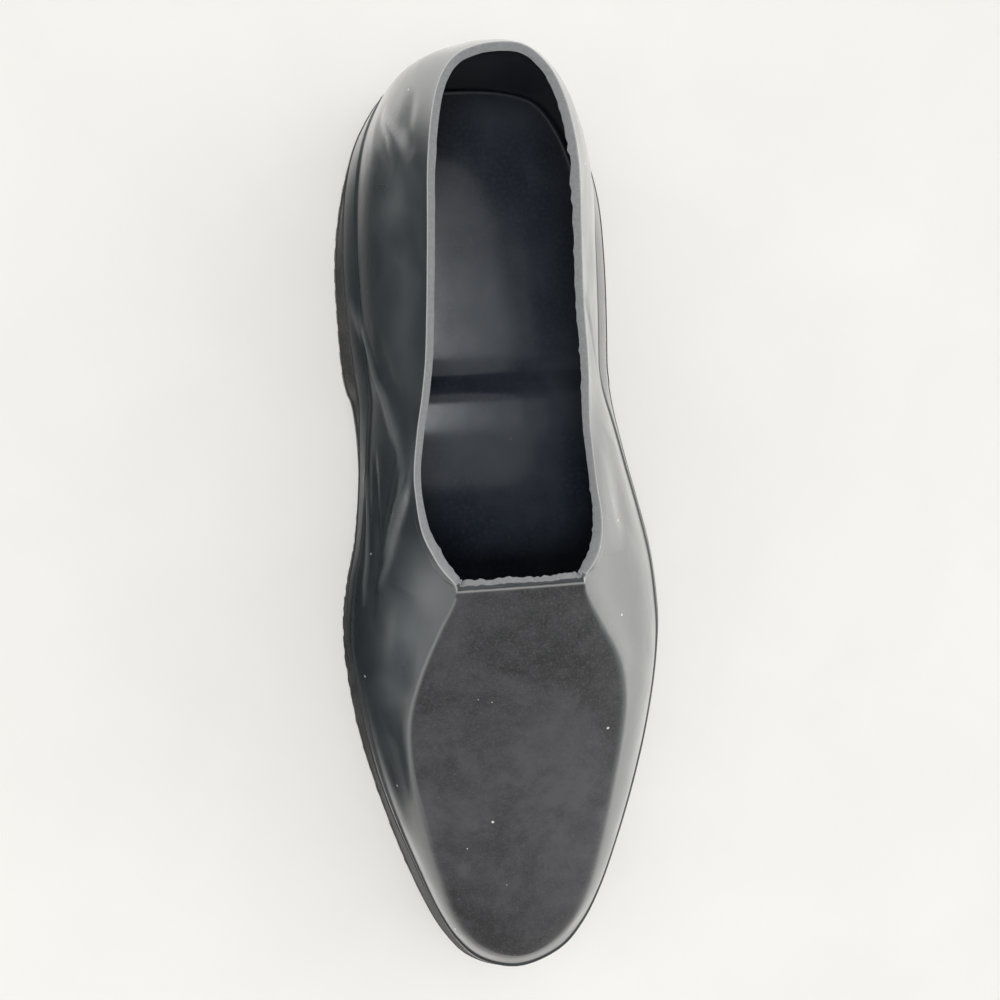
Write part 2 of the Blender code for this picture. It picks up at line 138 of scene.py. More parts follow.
SWELL_COLUMNS = (
    "low_med", "low_lat", "high_med", "high_lat",
    "rand_med", "rand_lat", "sole_med", "sole_lat", "crown",
)
SWELLS = (
    (1.2, 1.2, 8.0, 8.0, 1.2, 1.2, 1.6, 1.6, 0.0),
    (0.8, 0.6, 9.2, 8.2, 1.2, 1.3, 1.5, 1.7, 0.0),
    (0.8, 0.6, 9.8, 8.2, 1.4, 1.7, 1.7, 2.0, 0.0),
    (0.2, 0.2, 7.8, 7.4, 1.7, 2.4, 2.0, 2.8, 0.0),
    (-0.4, -0.4, 5.6, 6.2, 2.8, 3.5, 3.4, 4.3, 0.0),
    (-0.8, -1.0, 4.6, 4.4, 3.5, 4.2, 5.2, 5.4, 0.0),
    (-1.2, -1.4, 4.0, 2.8, 3.7, 4.7, 6.8, 6.1, 0.0),
    (-1.6, -1.4, 3.8, 2.8, 3.6, 4.7, 7.2, 6.1, 0.0),
    (-2.0, -1.6, 3.8, 2.8, 3.2, 4.7, 7.4, 6.1, 0.0),
    (-2.4, -1.8, 4.0, 3.0, 2.8, 4.3, 6.6, 5.5, 0.0),
    (-2.6, -2.0, 4.4, 3.4, 2.3, 3.4, 5.0, 4.2, 0.0),
    (-3.0, -2.8, 5.0, 5.4, 1.5, 1.9, 2.6, 2.4, 0.0),
    (-3.0, -4.0, 6.2, 9.0, 1.1, 1.2, 1.3, 1.6, 0.0),
    (-2.6, -4.5, 8.0, 11.0, 1.0, 1.0, 1.2, 1.5, 0.0),
    (-2.0, -5.0, 10.5, 13.4, 1.0, 1.0, 1.3, 1.6, 0.0),
    (-1.6, -5.2, 13.5, 17.0, 1.0, 1.0, 1.5, 1.7, 0.4),
    (-1.2, -5.5, 11.6, 16.5, 1.0, 1.0, 2.2, 2.0, 1.4),
    (-1.0, -5.5, 9.6, 14.5, 1.0, 1.0, 2.5, 2.2, 2.2),
    (-1.0, -5.0, 8.2, 12.5, 1.0, 1.0, 3.7, 2.4, 2.6),
    (-1.0, -4.4, 7.4, 11.4, 1.0, 1.0, 3.9, 2.7, 2.7),
    (-1.0, -4.0, 7.0, 10.4, 1.0, 1.0, 3.7, 3.0, 2.6),
    (-1.0, -3.4, 6.6, 9.0, 1.0, 1.0, 3.9, 2.9, 2.5),
    (-0.8, -2.4, 6.0, 7.6, 1.0, 1.0, 4.5, 2.6, 2.4),
    (-0.6, -1.6, 5.2, 5.8, 1.0, 1.0, 4.6, 2.6, 2.2),
    (-0.4, -0.8, 4.4, 4.5, 1.0, 1.0, 4.5, 2.8, 1.6),
    (-0.2, -0.3, 3.7, 3.7, 1.0, 1.0, 4.4, 3.6, 0.8),
    (0.0, 0.0, 3.3, 3.3, 1.0, 1.0, 4.2, 4.2, 0.0),
)

LEVEL_COLUMNS = ("station", "under", "top")
LEVELS = (
    (-5.0, 0.0, 6.6),
    (60.0, 0.0, 6.5),
    (92.0, 0.0, 6.7),
    (99.0, 0.0, 7.4),
    (104.0, 0.0, 10.4),
    (109.0, 6.0, 12.6),
    (118.0, 6.8, 12.8),
    (134.0, 5.6, 11.4),
    (152.0, 3.2, 9.0),
    (170.0, 0.9, 7.0),
    (184.0, 0.0, 6.1),
    (240.0, 0.0, 6.1),
    (258.0, 0.7, 6.8),
    (276.0, 2.3, 8.3),
    (294.0, 4.8, 10.6),
    (308.0, 7.2, 12.8),
    (322.0, 9.8, 15.2),
)


def column(table, names, name):
    """One named column of a table as numbers."""
    return np.array([row[names.index(name)] for row in table], dtype=float)


def place(points):
    """Rows of offset, station and height in mm to metres in the row's frame."""
    points = np.asarray(points, dtype=float)
    return np.column_stack((
        points[:, 0] - CENTRE_OFFSET, CENTRE_STATION - points[:, 1], points[:, 2]
    )) * MM


print(len(SECTIONS), "sections,", len(LEVELS), "heights along the sole")

# %% [markdown]
# ## Ribs round the shoe
# A rib stands at every point of the shoe's outline: down the medial side, round the toe and
# back on the lateral side. Smooth curves through the sections give each rib its own foot,
# top and swell. The ribs stand closer at the waist and the throat, where the rubber has its
# sharpest folds and edges.

# %% Smooth curves along the shoe
def smooth_level(name, stations):
    """Height of the sole's underside or top, smooth and never past the table's values."""
    xs = column(LEVELS, LEVEL_COLUMNS, "station")
    ys = column(LEVELS, LEVEL_COLUMNS, name)
    slopes = np.diff(ys) / np.diff(xs)
    turns = np.zeros(len(xs))
    for i in range(1, len(xs) - 1):
        if slopes[i - 1] * slopes[i] > 0.0:
            turns[i] = 2.0 * slopes[i - 1] * slopes[i] / (slopes[i - 1] + slopes[i])
    x = np.clip(stations, xs[0], xs[-1])
    i = np.clip(np.searchsorted(xs, x, side="right") - 1, 0, len(xs) - 2)
    step = xs[i + 1] - xs[i]
    t = (x - xs[i]) / step
    return (
        (1.0 + 2.0 * t) * (1.0 - t) ** 2 * ys[i]
        + t * (1.0 - t) ** 2 * step * turns[i]
        + t * t * (3.0 - 2.0 * t) * ys[i + 1]
        + t * t * (t - 1.0) * step * turns[i + 1]
    )


def between(rows, i, t):
    """A smooth step from row i to the next one of a closed list of rows."""
    n = len(rows)
    before, here, there, after = (rows[(i + k) % n] for k in (-1, 0, 1, 2))
    return 0.5 * (
        2.0 * here
        + (there - before) * t
        + (2.0 * before - 5.0 * here + 4.0 * there - after) * t * t
        + (3.0 * here - before - 3.0 * there + after) * t ** 3
    )


WAIST_STATION = 118.0
print("waist raised by", round(float(smooth_level("under", WAIST_STATION)), 1), "mm")

# %% Ribs from smooth curves through the sections
PLAIN_PACE = 2.1          # walk between two ribs
FOLD_PACE = 1.4           # the same where the walls fold
FOLD_ZONE = (85.0, 205.0)  # stations where they fold
THROAT_PACE = 0.55        # the same round the throat's corner
FEWEST_STEPS = 3          # least ribs from one section to the next


def side_rows(side):
    """foot_x, foot_s, top_x, top_s, top_z, low, high, rand, sole, crown of one side."""
    section = [column(SECTIONS, SECTION_COLUMNS, name) for name in (
        "foot_" + side, "foot_s", "top_" + side, "top_s", "top_z")]
    swell = [column(SWELLS, SWELL_COLUMNS, name) for name in (
        "low_" + side, "high_" + side, "rand_" + side, "sole_" + side, "crown")]
    return np.column_stack(section + swell)


def rib_pace(k):
    """How far apart the ribs stand after section k."""
    if THROAT_SECTION - 1 <= k <= THROAT_SECTION:
        return THROAT_PACE
    return FOLD_PACE if FOLD_ZONE[0] < SECTIONS[k][0] < FOLD_ZONE[1] else PLAIN_PACE


def all_ribs():
    """The ribs in order, and the places of the toe rib and the medial throat corner."""
    medial, lateral = side_rows("med"), side_rows("lat")
    last = len(SECTIONS) - 1
    closed = np.vstack((medial, lateral[last - 1:0:-1]))
    spans = []
    for k in range(last):
        walk = max(math.dist(rows[k][:2], rows[k + 1][:2]) for rows in (medial, lateral))
        count = max(FEWEST_STEPS, round(walk / rib_pace(k)))
        spans.append([j / count for j in range(count)])
    ribs = [between(closed, k, t) for k in range(last) for t in spans[k]]
    toe = len(ribs)
    for k in range(last - 1, -1, -1):
        for t in [0.0] + [1.0 - t for t in reversed(spans[k][1:])]:
            ribs.append(between(closed, 2 * last - 1 - k, t))
    corner = sum(len(spans[k]) for k in range(THROAT_SECTION))
    return np.array(ribs), toe, corner


def unit(rows):
    """Rows of directions, each made one long."""
    return rows / np.linalg.norm(rows, axis=1)[:, None]


def outward_of(ring):
    """Outward directions across a closed outline that starts at the heel's back."""
    along = np.roll(ring, -1, axis=0) - np.roll(ring, 1, axis=0)
    across = unit(np.column_stack((-along[:, 1], along[:, 0])))
    return across if across[0][1] < 0.0 else -across


ribs, toe_rib, corner_rib = all_ribs()
rib_count = len(ribs)
rib_foot, rib_top, rib_low, rib_high = ribs[:, :2], ribs[:, 2:5], ribs[:, 5:6], ribs[:, 6:7]
rib_rand, rib_sole, rib_crown = ribs[:, 7], ribs[:, 8], ribs[:, 9]
rib_outward = outward_of(rib_foot)
print(rib_count, "ribs; toe at", toe_rib, "and throat corner at", corner_rib)

# %% [markdown]
# ## The skin of the upper
# Each rib becomes a wall line: a curve that leaves the foot nearly upright and leans in to
# the collar edge, or to the ridge of the vamp panel. The panel is a field of strips from
# ridge to ridge with a slight crown. Walls and panel are one grid of points, so the skin can
# be rounded and folded as a whole.

# %% Wall lines
RAND_SHARES = (0.0, 0.12, 0.3, 0.5, 0.7, 0.86, 0.95, 1.0)
SLOPE_SHARES = (0.25, 0.5, 0.75, 1.0)
MOST_RAND = 0.45    # most of a low wall that the rand may take
PLAIN_ROWS = 38
BAND_ROWS = 14
BAND_REACH = 5.5    # depth of the close rows below the edge
CURVE_POINTS = 61   # points that measure a wall's curve
FOOT_RISE = 0.42    # share of the height that leaves the foot upright
TOP_RISE = 0.24     # share of it that comes up to the edge upright


def wall_lines():
    """Points of every wall line, and their way up the wall in mm."""
    foot = np.column_stack((rib_foot, smooth_level("top", rib_foot[:, 1]) + FIT))
    lean = unit(foot[:, :2] - rib_top[:, :2])
    rise = rib_top[:, 2] - foot[:, 2]
    low = foot + np.column_stack((rib_outward * rib_low, FOOT_RISE * rise))
    high = rib_top + np.column_stack((lean * rib_high, -TOP_RISE * rise))
    t = np.linspace(0.0, 1.0, CURVE_POINTS)[None, :, None]
    fine = (
        (1.0 - t) ** 3 * foot[:, None] + 3.0 * t * (1.0 - t) ** 2 * low[:, None]
        + 3.0 * t * t * (1.0 - t) * high[:, None] + t ** 3 * rib_top[:, None]
    )
    steps = np.linalg.norm(np.diff(fine, axis=1), axis=2)
    walk = np.concatenate((np.zeros((rib_count, 1)), np.cumsum(steps, axis=1)), axis=1)
    lines, ways = [], []
    for line, way in zip(fine, walk):
        stops = wall_stops(way[-1])
        lines.append(np.column_stack([np.interp(stops, way, line[:, k]) for k in range(3)]))
        ways.append(stops)
    return np.array(lines), np.array(ways)


def wall_stops(length):
    """Ways up a wall where its rows lie, close at the rand and below the edge."""
    rand = min(RAND_HEIGHT, MOST_RAND * length)
    lower = [rand * share for share in RAND_SHARES]
    lower += [rand + EDGE_SLOPE * share for share in SLOPE_SHARES]
    band = np.linspace(length - BAND_REACH, length, BAND_ROWS)
    plain = np.linspace(lower[-1], band[0], PLAIN_ROWS + 2)[1:-1]
    return np.concatenate((lower, plain, band))


wall_points, wall_ways = wall_lines()
wall_rows = wall_points.shape[1]
print(wall_rows, "rows up each wall; the longest is", round(float(wall_ways.max()), 1), "mm")

# %% Walls and vamp panel as one grid
PANEL_STRIPS = 44
PANEL_EVENNESS = 0.62  # 1 for even strips, less for closer ones at the ridges


def closer_at_ends(count, evenness):
    """Shares from 0 to 1 that crowd towards both ends."""
    even = np.linspace(0.0, 1.0, count + 1)
    return evenness * even + (1.0 - evenness) * 0.5 * (1.0 - np.cos(math.pi * even))


def upper_grid():
    """Points and faces of walls and panel, with what each point knows of its place."""
    rows = wall_rows
    points = [p for line in wall_points for p in line]
    facts = [(way, way - line[-1], 0.0) for line in wall_ways for way in line]
    faces = []
    for i in range(rib_count):
        j = (i + 1) % rib_count
        for k in range(rows - 1):
            faces.append((i * rows + k, j * rows + k, j * rows + k + 1, i * rows + k + 1))
    edge = [i * rows + rows - 1 for i in range(rib_count)]
    shares = closer_at_ends(PANEL_STRIPS, PANEL_EVENNESS)
    strips = []
    for rib in range(corner_rib, toe_rib):
        medial, lateral = edge[rib], edge[(rib_count - rib) % rib_count]
        width = math.dist(points[medial], points[lateral])
        strip = [medial]
        for share in shares[1:-1]:
            p = (1.0 - share) * points[medial] + share * points[lateral]
            lift = rib_crown[rib] * (1.0 - (2.0 * share - 1.0) ** 2)
            strip.append(len(points))
            points.append(p + np.array((0.0, 0.0, lift)))
            facts.append((0.0, width * min(share, 1.0 - share), 1.0))
        strips.append(strip + [lateral])
    for near, far in zip(strips, strips[1:]):
        for m in range(PANEL_STRIPS):
            faces.append((near[m], far[m], far[m + 1], near[m + 1]))
    for m in range(PANEL_STRIPS):
        faces.append((strips[-1][m + 1], strips[-1][m], edge[toe_rib]))
    collar = edge[rib_count - corner_rib:] + edge[:corner_rib + 1] + strips[0][1:-1]
    foot = [i * rows for i in range(rib_count)]
    return np.array(points), faces, np.array(facts), foot, collar


skin, skin_faces, skin_facts, foot_loop, collar_loop = upper_grid()
way_up = skin_facts[:, 0]
from_ridge = skin_facts[:, 1]
on_panel = skin_facts[:, 2] > 0.5
print(len(skin), "points in the skin,", len(collar_loop), "of them round the opening")

# %% [markdown]
# ## Rounding the ridges
# Rubber leaves the mould with soft edges. The medial ridge is crisp beside the throat and
# softens towards the toe, and the lateral one is soft all along. Moving each point towards
# the middle of its neighbours rounds a ridge, and a share from 0 to 1 says how much of that
# each point takes. Both tables give a curve for each side: stations, and values there.

# %% Soft ridges between the walls and the panel
ROUNDING_STEPS = 26
ROUNDING_STARTS = (166.0, 176.0)  # stations where the rounding fades in
MIDDLE_OFFSET = 4.0               # line between the medial and the lateral side
SOFTNESS = {
    "medial": ((170, 215, 250, 300), (0.05, 0.07, 0.4, 0.9)),
    "lateral": ((170, 190, 250, 300), (0.35, 0.7, 0.8, 0.9)),
}
ROUND_REACH = {
    "medial": ((170, 230, 300), (1.6, 2.4, 6.0)),
    "lateral": ((170, 230, 300), (3.5, 5.0, 6.0)),
}


def edges_of(faces):
    """Every pair of neighbouring points once."""
    pairs = set()
    for face in faces:
        for a, b in zip(face, face[1:] + face[:1]):
            pairs.add((min(a, b), max(a, b)))
    return np.array(sorted(pairs))


def eased(points, pairs, share, steps):
    """Points moved towards the middle of their neighbours, each by its own share."""
    a, b = pairs[:, 0], pairs[:, 1]
    size = len(points)
    count = np.bincount(np.concatenate((a, b)), minlength=size)[:, None]
    points = points.copy()
    for _ in range(steps):
        total = np.column_stack([
            np.bincount(a, points[b, k], size) + np.bincount(b, points[a, k], size)
            for k in range(3)
        ])
        points += 0.5 * share[:, None] * (total / count - points)
    return points


def by_side(curves, points):
    """A value that changes along the shoe, on each side by its own curve."""
    medial, lateral = (np.interp(points[:, 1], *curves[side]) for side in ("medial", "lateral"))
    return np.where(points[:, 0] < MIDDLE_OFFSET, medial, lateral)


def ridge_share():
    """How soft the skin is at each point: most at the ridges and towards the toe."""
    first, last = ROUNDING_STARTS
    ahead = np.clip((skin[:, 1] - first) / (last - first), 0.0, 1.0)
    near = np.exp(-(from_ridge / by_side(ROUND_REACH, skin)) ** 2)
    share = ahead * by_side(SOFTNESS, skin) * near
    share[foot_loop] = 0.0
    share[collar_loop] = 0.0
    return share


pairs = edges_of(skin_faces)
skin = eased(skin, pairs, ridge_share(), ROUNDING_STEPS)
print(len(pairs), "edges in the skin")

# %% [markdown]
# ## Folds and dents
# The overshoe stands empty, so its thin sides have sunk a little. Each fold is a soft ridge
# or trough along a short line of places on the wall: a station and a way up the wall, both
# in millimetres. The skin moves along its own normal, deepest on the line and fading to its
# sides and ends. A row of the table says the side, how far the fold stands out, its width
# and its line.

# %% The skin's own normals
def normals_of(points, faces):
    """Outward direction at every point of the skin."""
    total = np.zeros_like(points)
    for size in (3, 4):
        group = np.array([face for face in faces if len(face) == size])
        corners = points[group]
        if size == 4:
            sides = corners[:, 2] - corners[:, 0], corners[:, 3] - corners[:, 1]
        else:
            sides = corners[:, 1] - corners[:, 0], corners[:, 2] - corners[:, 0]
        cross = np.cross(*sides)
        for k in range(size):
            np.add.at(total, group[:, k], -cross)
    return unit(total)


skin_normal = normals_of(skin, skin_faces)
print("normals at", len(skin_normal), "points")

# %% Folds along short lines on the walls
EDGE_CALM = 7.0  # reach below the edge where folds fade out
END_FADE = 0.6   # how bluntly a fold ends
FOLD_MIDDLE = ((0.0, 150.0, 320.0), (1.0, 5.0, 4.0))
FOLDS = (
    ("medial", -1.0, 4.0, ((20, 62), (29, 58), (38, 62))),
    ("medial", 0.8, 2.2, ((20, 36), (27, 47), (35, 57))),
    ("medial", -0.7, 3.0, ((22, 30), (30, 40), (40, 48))),
    ("medial", 1.0, 2.0, ((74, 4), (91, 15), (101, 20), (115, 34), (123, 42), (129, 48))),
    ("medial", -0.6, 4.4, ((86, 26), (103, 34), (117, 47), (124, 55))),
    ("medial", 1.0, 1.8, ((127, 47), (136, 46), (146, 40), (158, 33))),
    ("medial", 1.1, 1.8, ((110, 56), (131, 52), (140, 47), (152, 39), (168, 31))),
    ("medial", -0.7, 3.6, ((112, 42), (127, 38), (142, 32), (160, 26))),
    ("medial", 0.7, 1.8, ((131, 8), (146, 14), (160, 18), (176, 21))),
    ("medial", -0.9, 2.4, ((124, 18), (142, 24), (159, 27), (180, 28))),
    ("medial", -1.3, 7.0, ((166, 46), (180, 43), (198, 40))),
    ("medial", -0.8, 7.0, ((205, 34), (222, 36), (240, 32))),
    ("lateral", -0.5, 1.3, ((76, 61), (84, 47), (92, 40), (100, 32))),
    ("lateral", -0.7, 8.0, ((122, 30), (138, 39), (152, 46))),
    ("lateral", 0.5, 5.0, ((124, 48), (140, 52), (158, 54))),
)


def soft_step(x):
    """A smooth rise from 0 to 1 while x goes from 0 to 1."""
    x = np.clip(x, 0.0, 1.0)
    return x * x * (3.0 - 2.0 * x)


def nearest_step(points, starts, spans):
    """Gap from each point to the nearest straight step, which one, and the share along it."""
    offset = points[:, None] - starts[None]
    share = np.clip((offset * spans).sum(axis=2) / (spans ** 2).sum(axis=1), 0.0, 1.0)
    gap = np.linalg.norm(offset - share[..., None] * spans, axis=2)
    best = gap.argmin(axis=1)
    rows = np.arange(len(points))
    return gap[rows, best], best, share[rows, best]


def folded(points):
    """How far every fold lifts or sinks each point, and a painted highlight along its crest."""
    lift = np.zeros(len(points))
    crest = np.zeros(len(points))
    middle = np.interp(points[:, 1], *FOLD_MIDDLE)
    for side, height, width, line in FOLDS:
        chosen = ~on_panel & ((points[:, 0] < middle) == (side == "medial"))
        places = np.column_stack((points[chosen, 1], way_up[chosen]))
        line = np.array(line, dtype=float)
        spans = np.diff(line, axis=0)
        gap, best, share = nearest_step(places, line[:-1], spans)
        lengths = np.linalg.norm(spans, axis=1)
        gone = np.concatenate(((0.0,), np.cumsum(lengths)))
        along = (gone[best] + share * lengths[best]) / gone[-1]
        fade = np.clip(4.0 * along * (1.0 - along), 0.0, 1.0) ** END_FADE
        below_edge = soft_step(-from_ridge[chosen] / EDGE_CALM)
        shape = np.exp(-(gap / width) ** 2) * fade * below_edge
        lift[chosen] += height * shape
        # Raised folds also give a mask along their crest, for a painted highlight.
        if height > 0.0:
            crest[chosen] = np.maximum(crest[chosen], shape)
    return lift, crest


lift, fold_crest_highlight = folded(skin)
skin = skin + skin_normal * lift[:, None]
skin_normal = normals_of(skin, skin_faces)
foot_outward = unit(skin_normal[foot_loop] * np.array((1.0, 1.0, 0.0)))
print(len(FOLDS), "folds from", round(float(lift.min()), 2), "to", round(float(lift.max()), 2))

# %% [markdown]
# ## Bands, cut edge and the upper's mesh
# The rand round the foot and the band round the throat are thicker rubber. The collar was
# trimmed by hand with a knife, so its cut edge is flat, dull and a little ragged, with
# curls of rubber left at the throat's corners. Outer skin, cut edge and inner skin make one
# closed mesh, and each vertex keeps masks that the materials read later.

# %% Raised bands on the outer skin
BAND_FADE = (134.0, 156.0)       # stations where the throat band begins and is full
SIDE_BAND_ENDS = (158.0, 163.0)  # stations where it ends beside the panel
BAND_SEARCH = 9.0                # reach below the edge that is measured
LAST_BAND_STATION = 185.0
# The throat band's outer edge gets a painted highlight line.
BAND_HIGHLIGHT_WIDTH = 0.4                  # half width of the line at the band's outer edge


def nearest_on_loop(points, loop):
    """Shortest way from points to a closed line, and the nearest place on it."""
    spans = np.roll(loop, -1, axis=0) - loop
    gap, best, share = nearest_step(points, loop, spans)
    return gap, loop[best] + share[:, None] * spans[best]


def raised_bands():
    """How far rand and throat band stand out at each point, and its painted edge highlight."""
    raised = np.zeros(len(skin))
    line = np.zeros(len(skin))
    for i in range(rib_count):
        span = slice(i * wall_rows, (i + 1) * wall_rows)
        way = way_up[span]
        rand = way[len(RAND_SHARES) - 1]
        share = np.clip(way / rand, 0.0, 1.0)
        thick = (1.0 - share) * rib_rand[i] + share * RAND_STEP
        raised[span] = thick * (1.0 - soft_step((way - rand) / EDGE_SLOPE))
    near = np.where(on_panel | (from_ridge > -BAND_SEARCH))[0]
    near = near[skin[near, 1] < LAST_BAND_STATION]
    gap, edge = nearest_on_loop(skin[near], skin[collar_loop])
    fade, end = (soft_step((edge[:, 1] - first) / (last - first))
                 for first, last in (BAND_FADE, SIDE_BAND_ENDS))
    width = THROAT_BAND * (1.0 - end)
    raised[near] += THROAT_STEP * fade * (1.0 - end) * (1.0 - soft_step((gap - width) / EDGE_SLOPE))
    # A painted highlight along the throat band's outer edge.
    line[near] = fade * np.exp(-((gap - width) / BAND_HIGHLIGHT_WIDTH) ** 2)
    return raised, line


raised, band_edge_highlight = raised_bands()
print("bands stand out by up to", round(float(raised.max()), 2), "mm")

# %% Ragged edge of the collar
# Each row of RAGGED: side, first and last station, longest curl, and how far apart curls are.
RAGGED = (
    ("lateral", 18.0, 112.0, 0.45, 0.9),
    ("lateral", 24.0, 62.0, 0.7, 1.2),
    ("medial", 30.0, 44.0, 0.3, 1.1),
    ("lateral", 134.0, 170.0, 0.8, 1.0),
    ("medial", 146.0, 170.0, 0.8, 0.9),
)
RAGGED_ENDS = 4.0     # walk over which the curls fade in and out
CURL_SHARPNESS = 2.2  # 1 for soft waves, more for rare, sharp curls
CURL_SEED = 11
COLLAR_MIDDLE = 2.0   # line between its medial and lateral side
COLLAR_WAVE = 0.12    # slow wave that the knife leaves all round
COLLAR_GRAIN = 2.2    # length of that wave
COLLAR_SEED = 5


def way_round(loop):
    """Way from the first point of a closed line to each of its points."""
    steps = np.linalg.norm(np.roll(loop, -1, axis=0) - loop, axis=1)
    return np.concatenate(((0.0,), np.cumsum(steps)[:-1]))


def uneven(way, grain, seed):
    """Soft random heights from 0 to 1 along a way, one new height every grain mm."""
    heights = np.random.default_rng(seed).random(int(way.max() / grain) + 3)
    x = way / grain
    i = x.astype(int)
    t = x - i
    return heights[i] + (heights[i + 1] - heights[i]) * t * t * (3.0 - 2.0 * t)


def collar_rags(edge, way):
    """How far the trimmed inner edge sticks into the opening at each collar point."""
    reach = COLLAR_WAVE * uneven(way, COLLAR_GRAIN, COLLAR_SEED)
    station = edge[:, 1]
    for number, (side, first, last, depth, grain) in enumerate(RAGGED):
        there = soft_step((station - first) / RAGGED_ENDS)
        there *= soft_step((last - station) / RAGGED_ENDS)
        there *= (edge[:, 0] < COLLAR_MIDDLE) == (side == "medial")
        reach += depth * there * uneven(way, grain, CURL_SEED + number) ** CURL_SHARPNESS
    return reach


outer_skin = skin + skin_normal * raised[:, None]
collar_way = way_round(outer_skin[collar_loop])
rags = collar_rags(outer_skin[collar_loop], collar_way)
print("longest curl on the collar:", round(float(rags.max()), 2), "mm")

# %% Cut edge, inner skin and closed mesh
RIM_COLUMNS = 6
RIM_SWELL = 0.12           # how far the cut edge bulges
KNIFE_ROUGHNESS = 0.10     # height of the knife's marks
KNIFE_GRAIN = 0.9
KNIFE_SEED = 40
CURL_LIFT = 0.25           # share of a curl that stands up

FRONT_STATION = 160.5      # where the throat's front edge begins
FRONT_FADE = 3.0
FRONT_LIP = 2.8            # flap that reaches over the opening
FRONT_LIFT = 0.8           # how far that flap tips up
FRONT_CREST = 1.3
FRONT_SKIN_COLUMNS = 3     # part of the flap with the outer skin's finish
# The front lip's length is uneven: its plain share, and rows of share, spacing and seed.
LIP_PLAIN = 0.7
LIP_TEETH = ((0.3, 0.8, 31), (0.25, 3.1, 32))

OUTER_SLOT, CUT_SLOT, INNER_SLOT = 0, 1, 2


def closed_upper():
    """Points, faces and material numbers of the closed upper."""
    outer = outer_skin.copy()
    inner = skin - skin_normal * WALL
    outer[foot_loop] = skin[foot_loop] + foot_outward * rib_rand[:, None]
    inner[foot_loop] = skin[foot_loop] - foot_outward * WALL
    for layer in (outer, inner):
        layer[foot_loop, 2] = smooth_level("top", layer[foot_loop, 1]) + FIT
    total = len(skin)
    points = np.vstack((outer, inner))
    faces = skin_faces + [tuple(i + total for i in reversed(face)) for face in skin_faces]
    slots = [OUTER_SLOT] * len(skin_faces) + [INNER_SLOT] * len(skin_faces)
    for a, b in zip(foot_loop, foot_loop[1:] + foot_loop[:1]):
        faces.append((a, b, b + total, a + total))
        slots.append(OUTER_SLOT)

    loop = np.array(collar_loop)
    across = unit(inner[loop] - outer[loop])
    points[loop + total] += across * rags[:, None]
    front = soft_step((outer[loop, 1] - FRONT_STATION) / FRONT_FADE)
    length = LIP_PLAIN
    for share, grain, seed in LIP_TEETH:
        length = length + share * uneven(collar_way, grain, seed)
    points[loop + total, 1] -= FRONT_LIP * front * length
    points[loop + total, 2] += FRONT_LIFT * front
    along = np.roll(outer[loop], -1, axis=0) - np.roll(outer[loop], 1, axis=0)
    rim_up = unit(np.cross(along, across))
    rim_up *= np.where(rim_up[:, 2:3] < 0.0, -1.0, 1.0)
    rows = [loop]
    extra = []
    for m in range(1, RIM_COLUMNS):
        share = m / RIM_COLUMNS
        row = (1.0 - share) * points[loop] + share * points[loop + total]
        rough = KNIFE_ROUGHNESS * (uneven(collar_way, KNIFE_GRAIN, KNIFE_SEED + m) - 0.5)
        rough += CURL_LIFT * rags * share
        row = row + rim_up * (RIM_SWELL * math.sin(math.pi * share) + rough)[:, None]
        row[:, 2] += front * THROAT_STEP * math.sin(math.pi * min(1.0, FRONT_CREST * share))
        rows.append(np.arange(len(loop)) + 2 * total + len(extra) * len(loop))
        extra.append(row)
    rows.append(loop + total)
    for m, (near, far) in enumerate(zip(rows, rows[1:])):
        for i in range(len(loop)):
            j = (i + 1) % len(loop)
            faces.append((near[i], near[j], far[j], far[i]))
            on_skin = front[i] > 0.5 and m < FRONT_SKIN_COLUMNS
            slots.append(OUTER_SLOT if on_skin else CUT_SLOT)
    return np.vstack([points] + extra), faces, slots


upper_points, upper_faces, upper_slots = closed_upper()
print(len(upper_points), "points in the closed upper")

# %% Masks for the finish and the painted highlights
# Lighter patches on the medial wall, one a row: station, way up, radius and strength.
# The first three are painted highlights on the bulges beside the throat; the others make
# the quarter and the waist lighter.
LIGHTER_PATCHES = (
    (164.0, 57.0, 9.0, 0.45),
    (182.0, 50.0, 13.0, 0.70),
    (203.0, 43.0, 10.0, 0.30),
    (44.0, 48.0, 12.0, 0.45),
    (66.0, 50.0, 14.0, 0.22),
    (90.0, 46.0, 14.0, 0.24),
    (124.0, 54.0, 8.0, 0.30),
)
PANEL_STARTS = 160.0      # station of the panel's first dust
PANEL_WALL_STARTS = 164.0  # where it may spread to the walls
PANEL_REACH = ((225, 250, 300), (0.0, 1.3, 3.4))
PANEL_SOFTNESS = {
    "medial": ((170, 220, 300), (0.7, 1.2, 1.9)),
    "lateral": ((170, 200, 300), (1.5, 2.4, 2.2)),
}
# The ridge line is partly rubbed wear and partly a painted highlight.
RIDGE_STARTS = 166.0
RIDGE_WIDTH = 0.5
RIDGE_STRENGTH = {
    "medial": ((168, 176, 225, 262), (0.6, 0.7, 0.5, 0.0)),
    "lateral": ((170, 185, 240), (0.25, 0.08, 0.0)),
}
DUSTY = ((169, 186, 212, 240, 266, 286, 302), (0.0, 0.0, 0.3, 1.0, 0.8, 0.0, 0.0))


def panel_mask():
    """1 on the matte vamp panel, with a soft border that spreads towards the toe."""
    spread = from_ridge + np.interp(skin[:, 1], *PANEL_REACH)
    mask = soft_step(0.5 + 0.5 * spread / by_side(PANEL_SOFTNESS, skin))
    near = on_panel | (skin[:, 1] > PANEL_WALL_STARTS)
    return mask * (near & (skin[:, 1] >= PANEL_STARTS))


def rubbed_and_highlit_ridges():
    """The lighter line along both ridges: rubbed wear with a painted highlight."""
    line = np.exp(-(from_ridge / RIDGE_WIDTH) ** 2) * (skin[:, 1] > RIDGE_STARTS)
    return by_side(RIDGE_STRENGTH, skin) * line


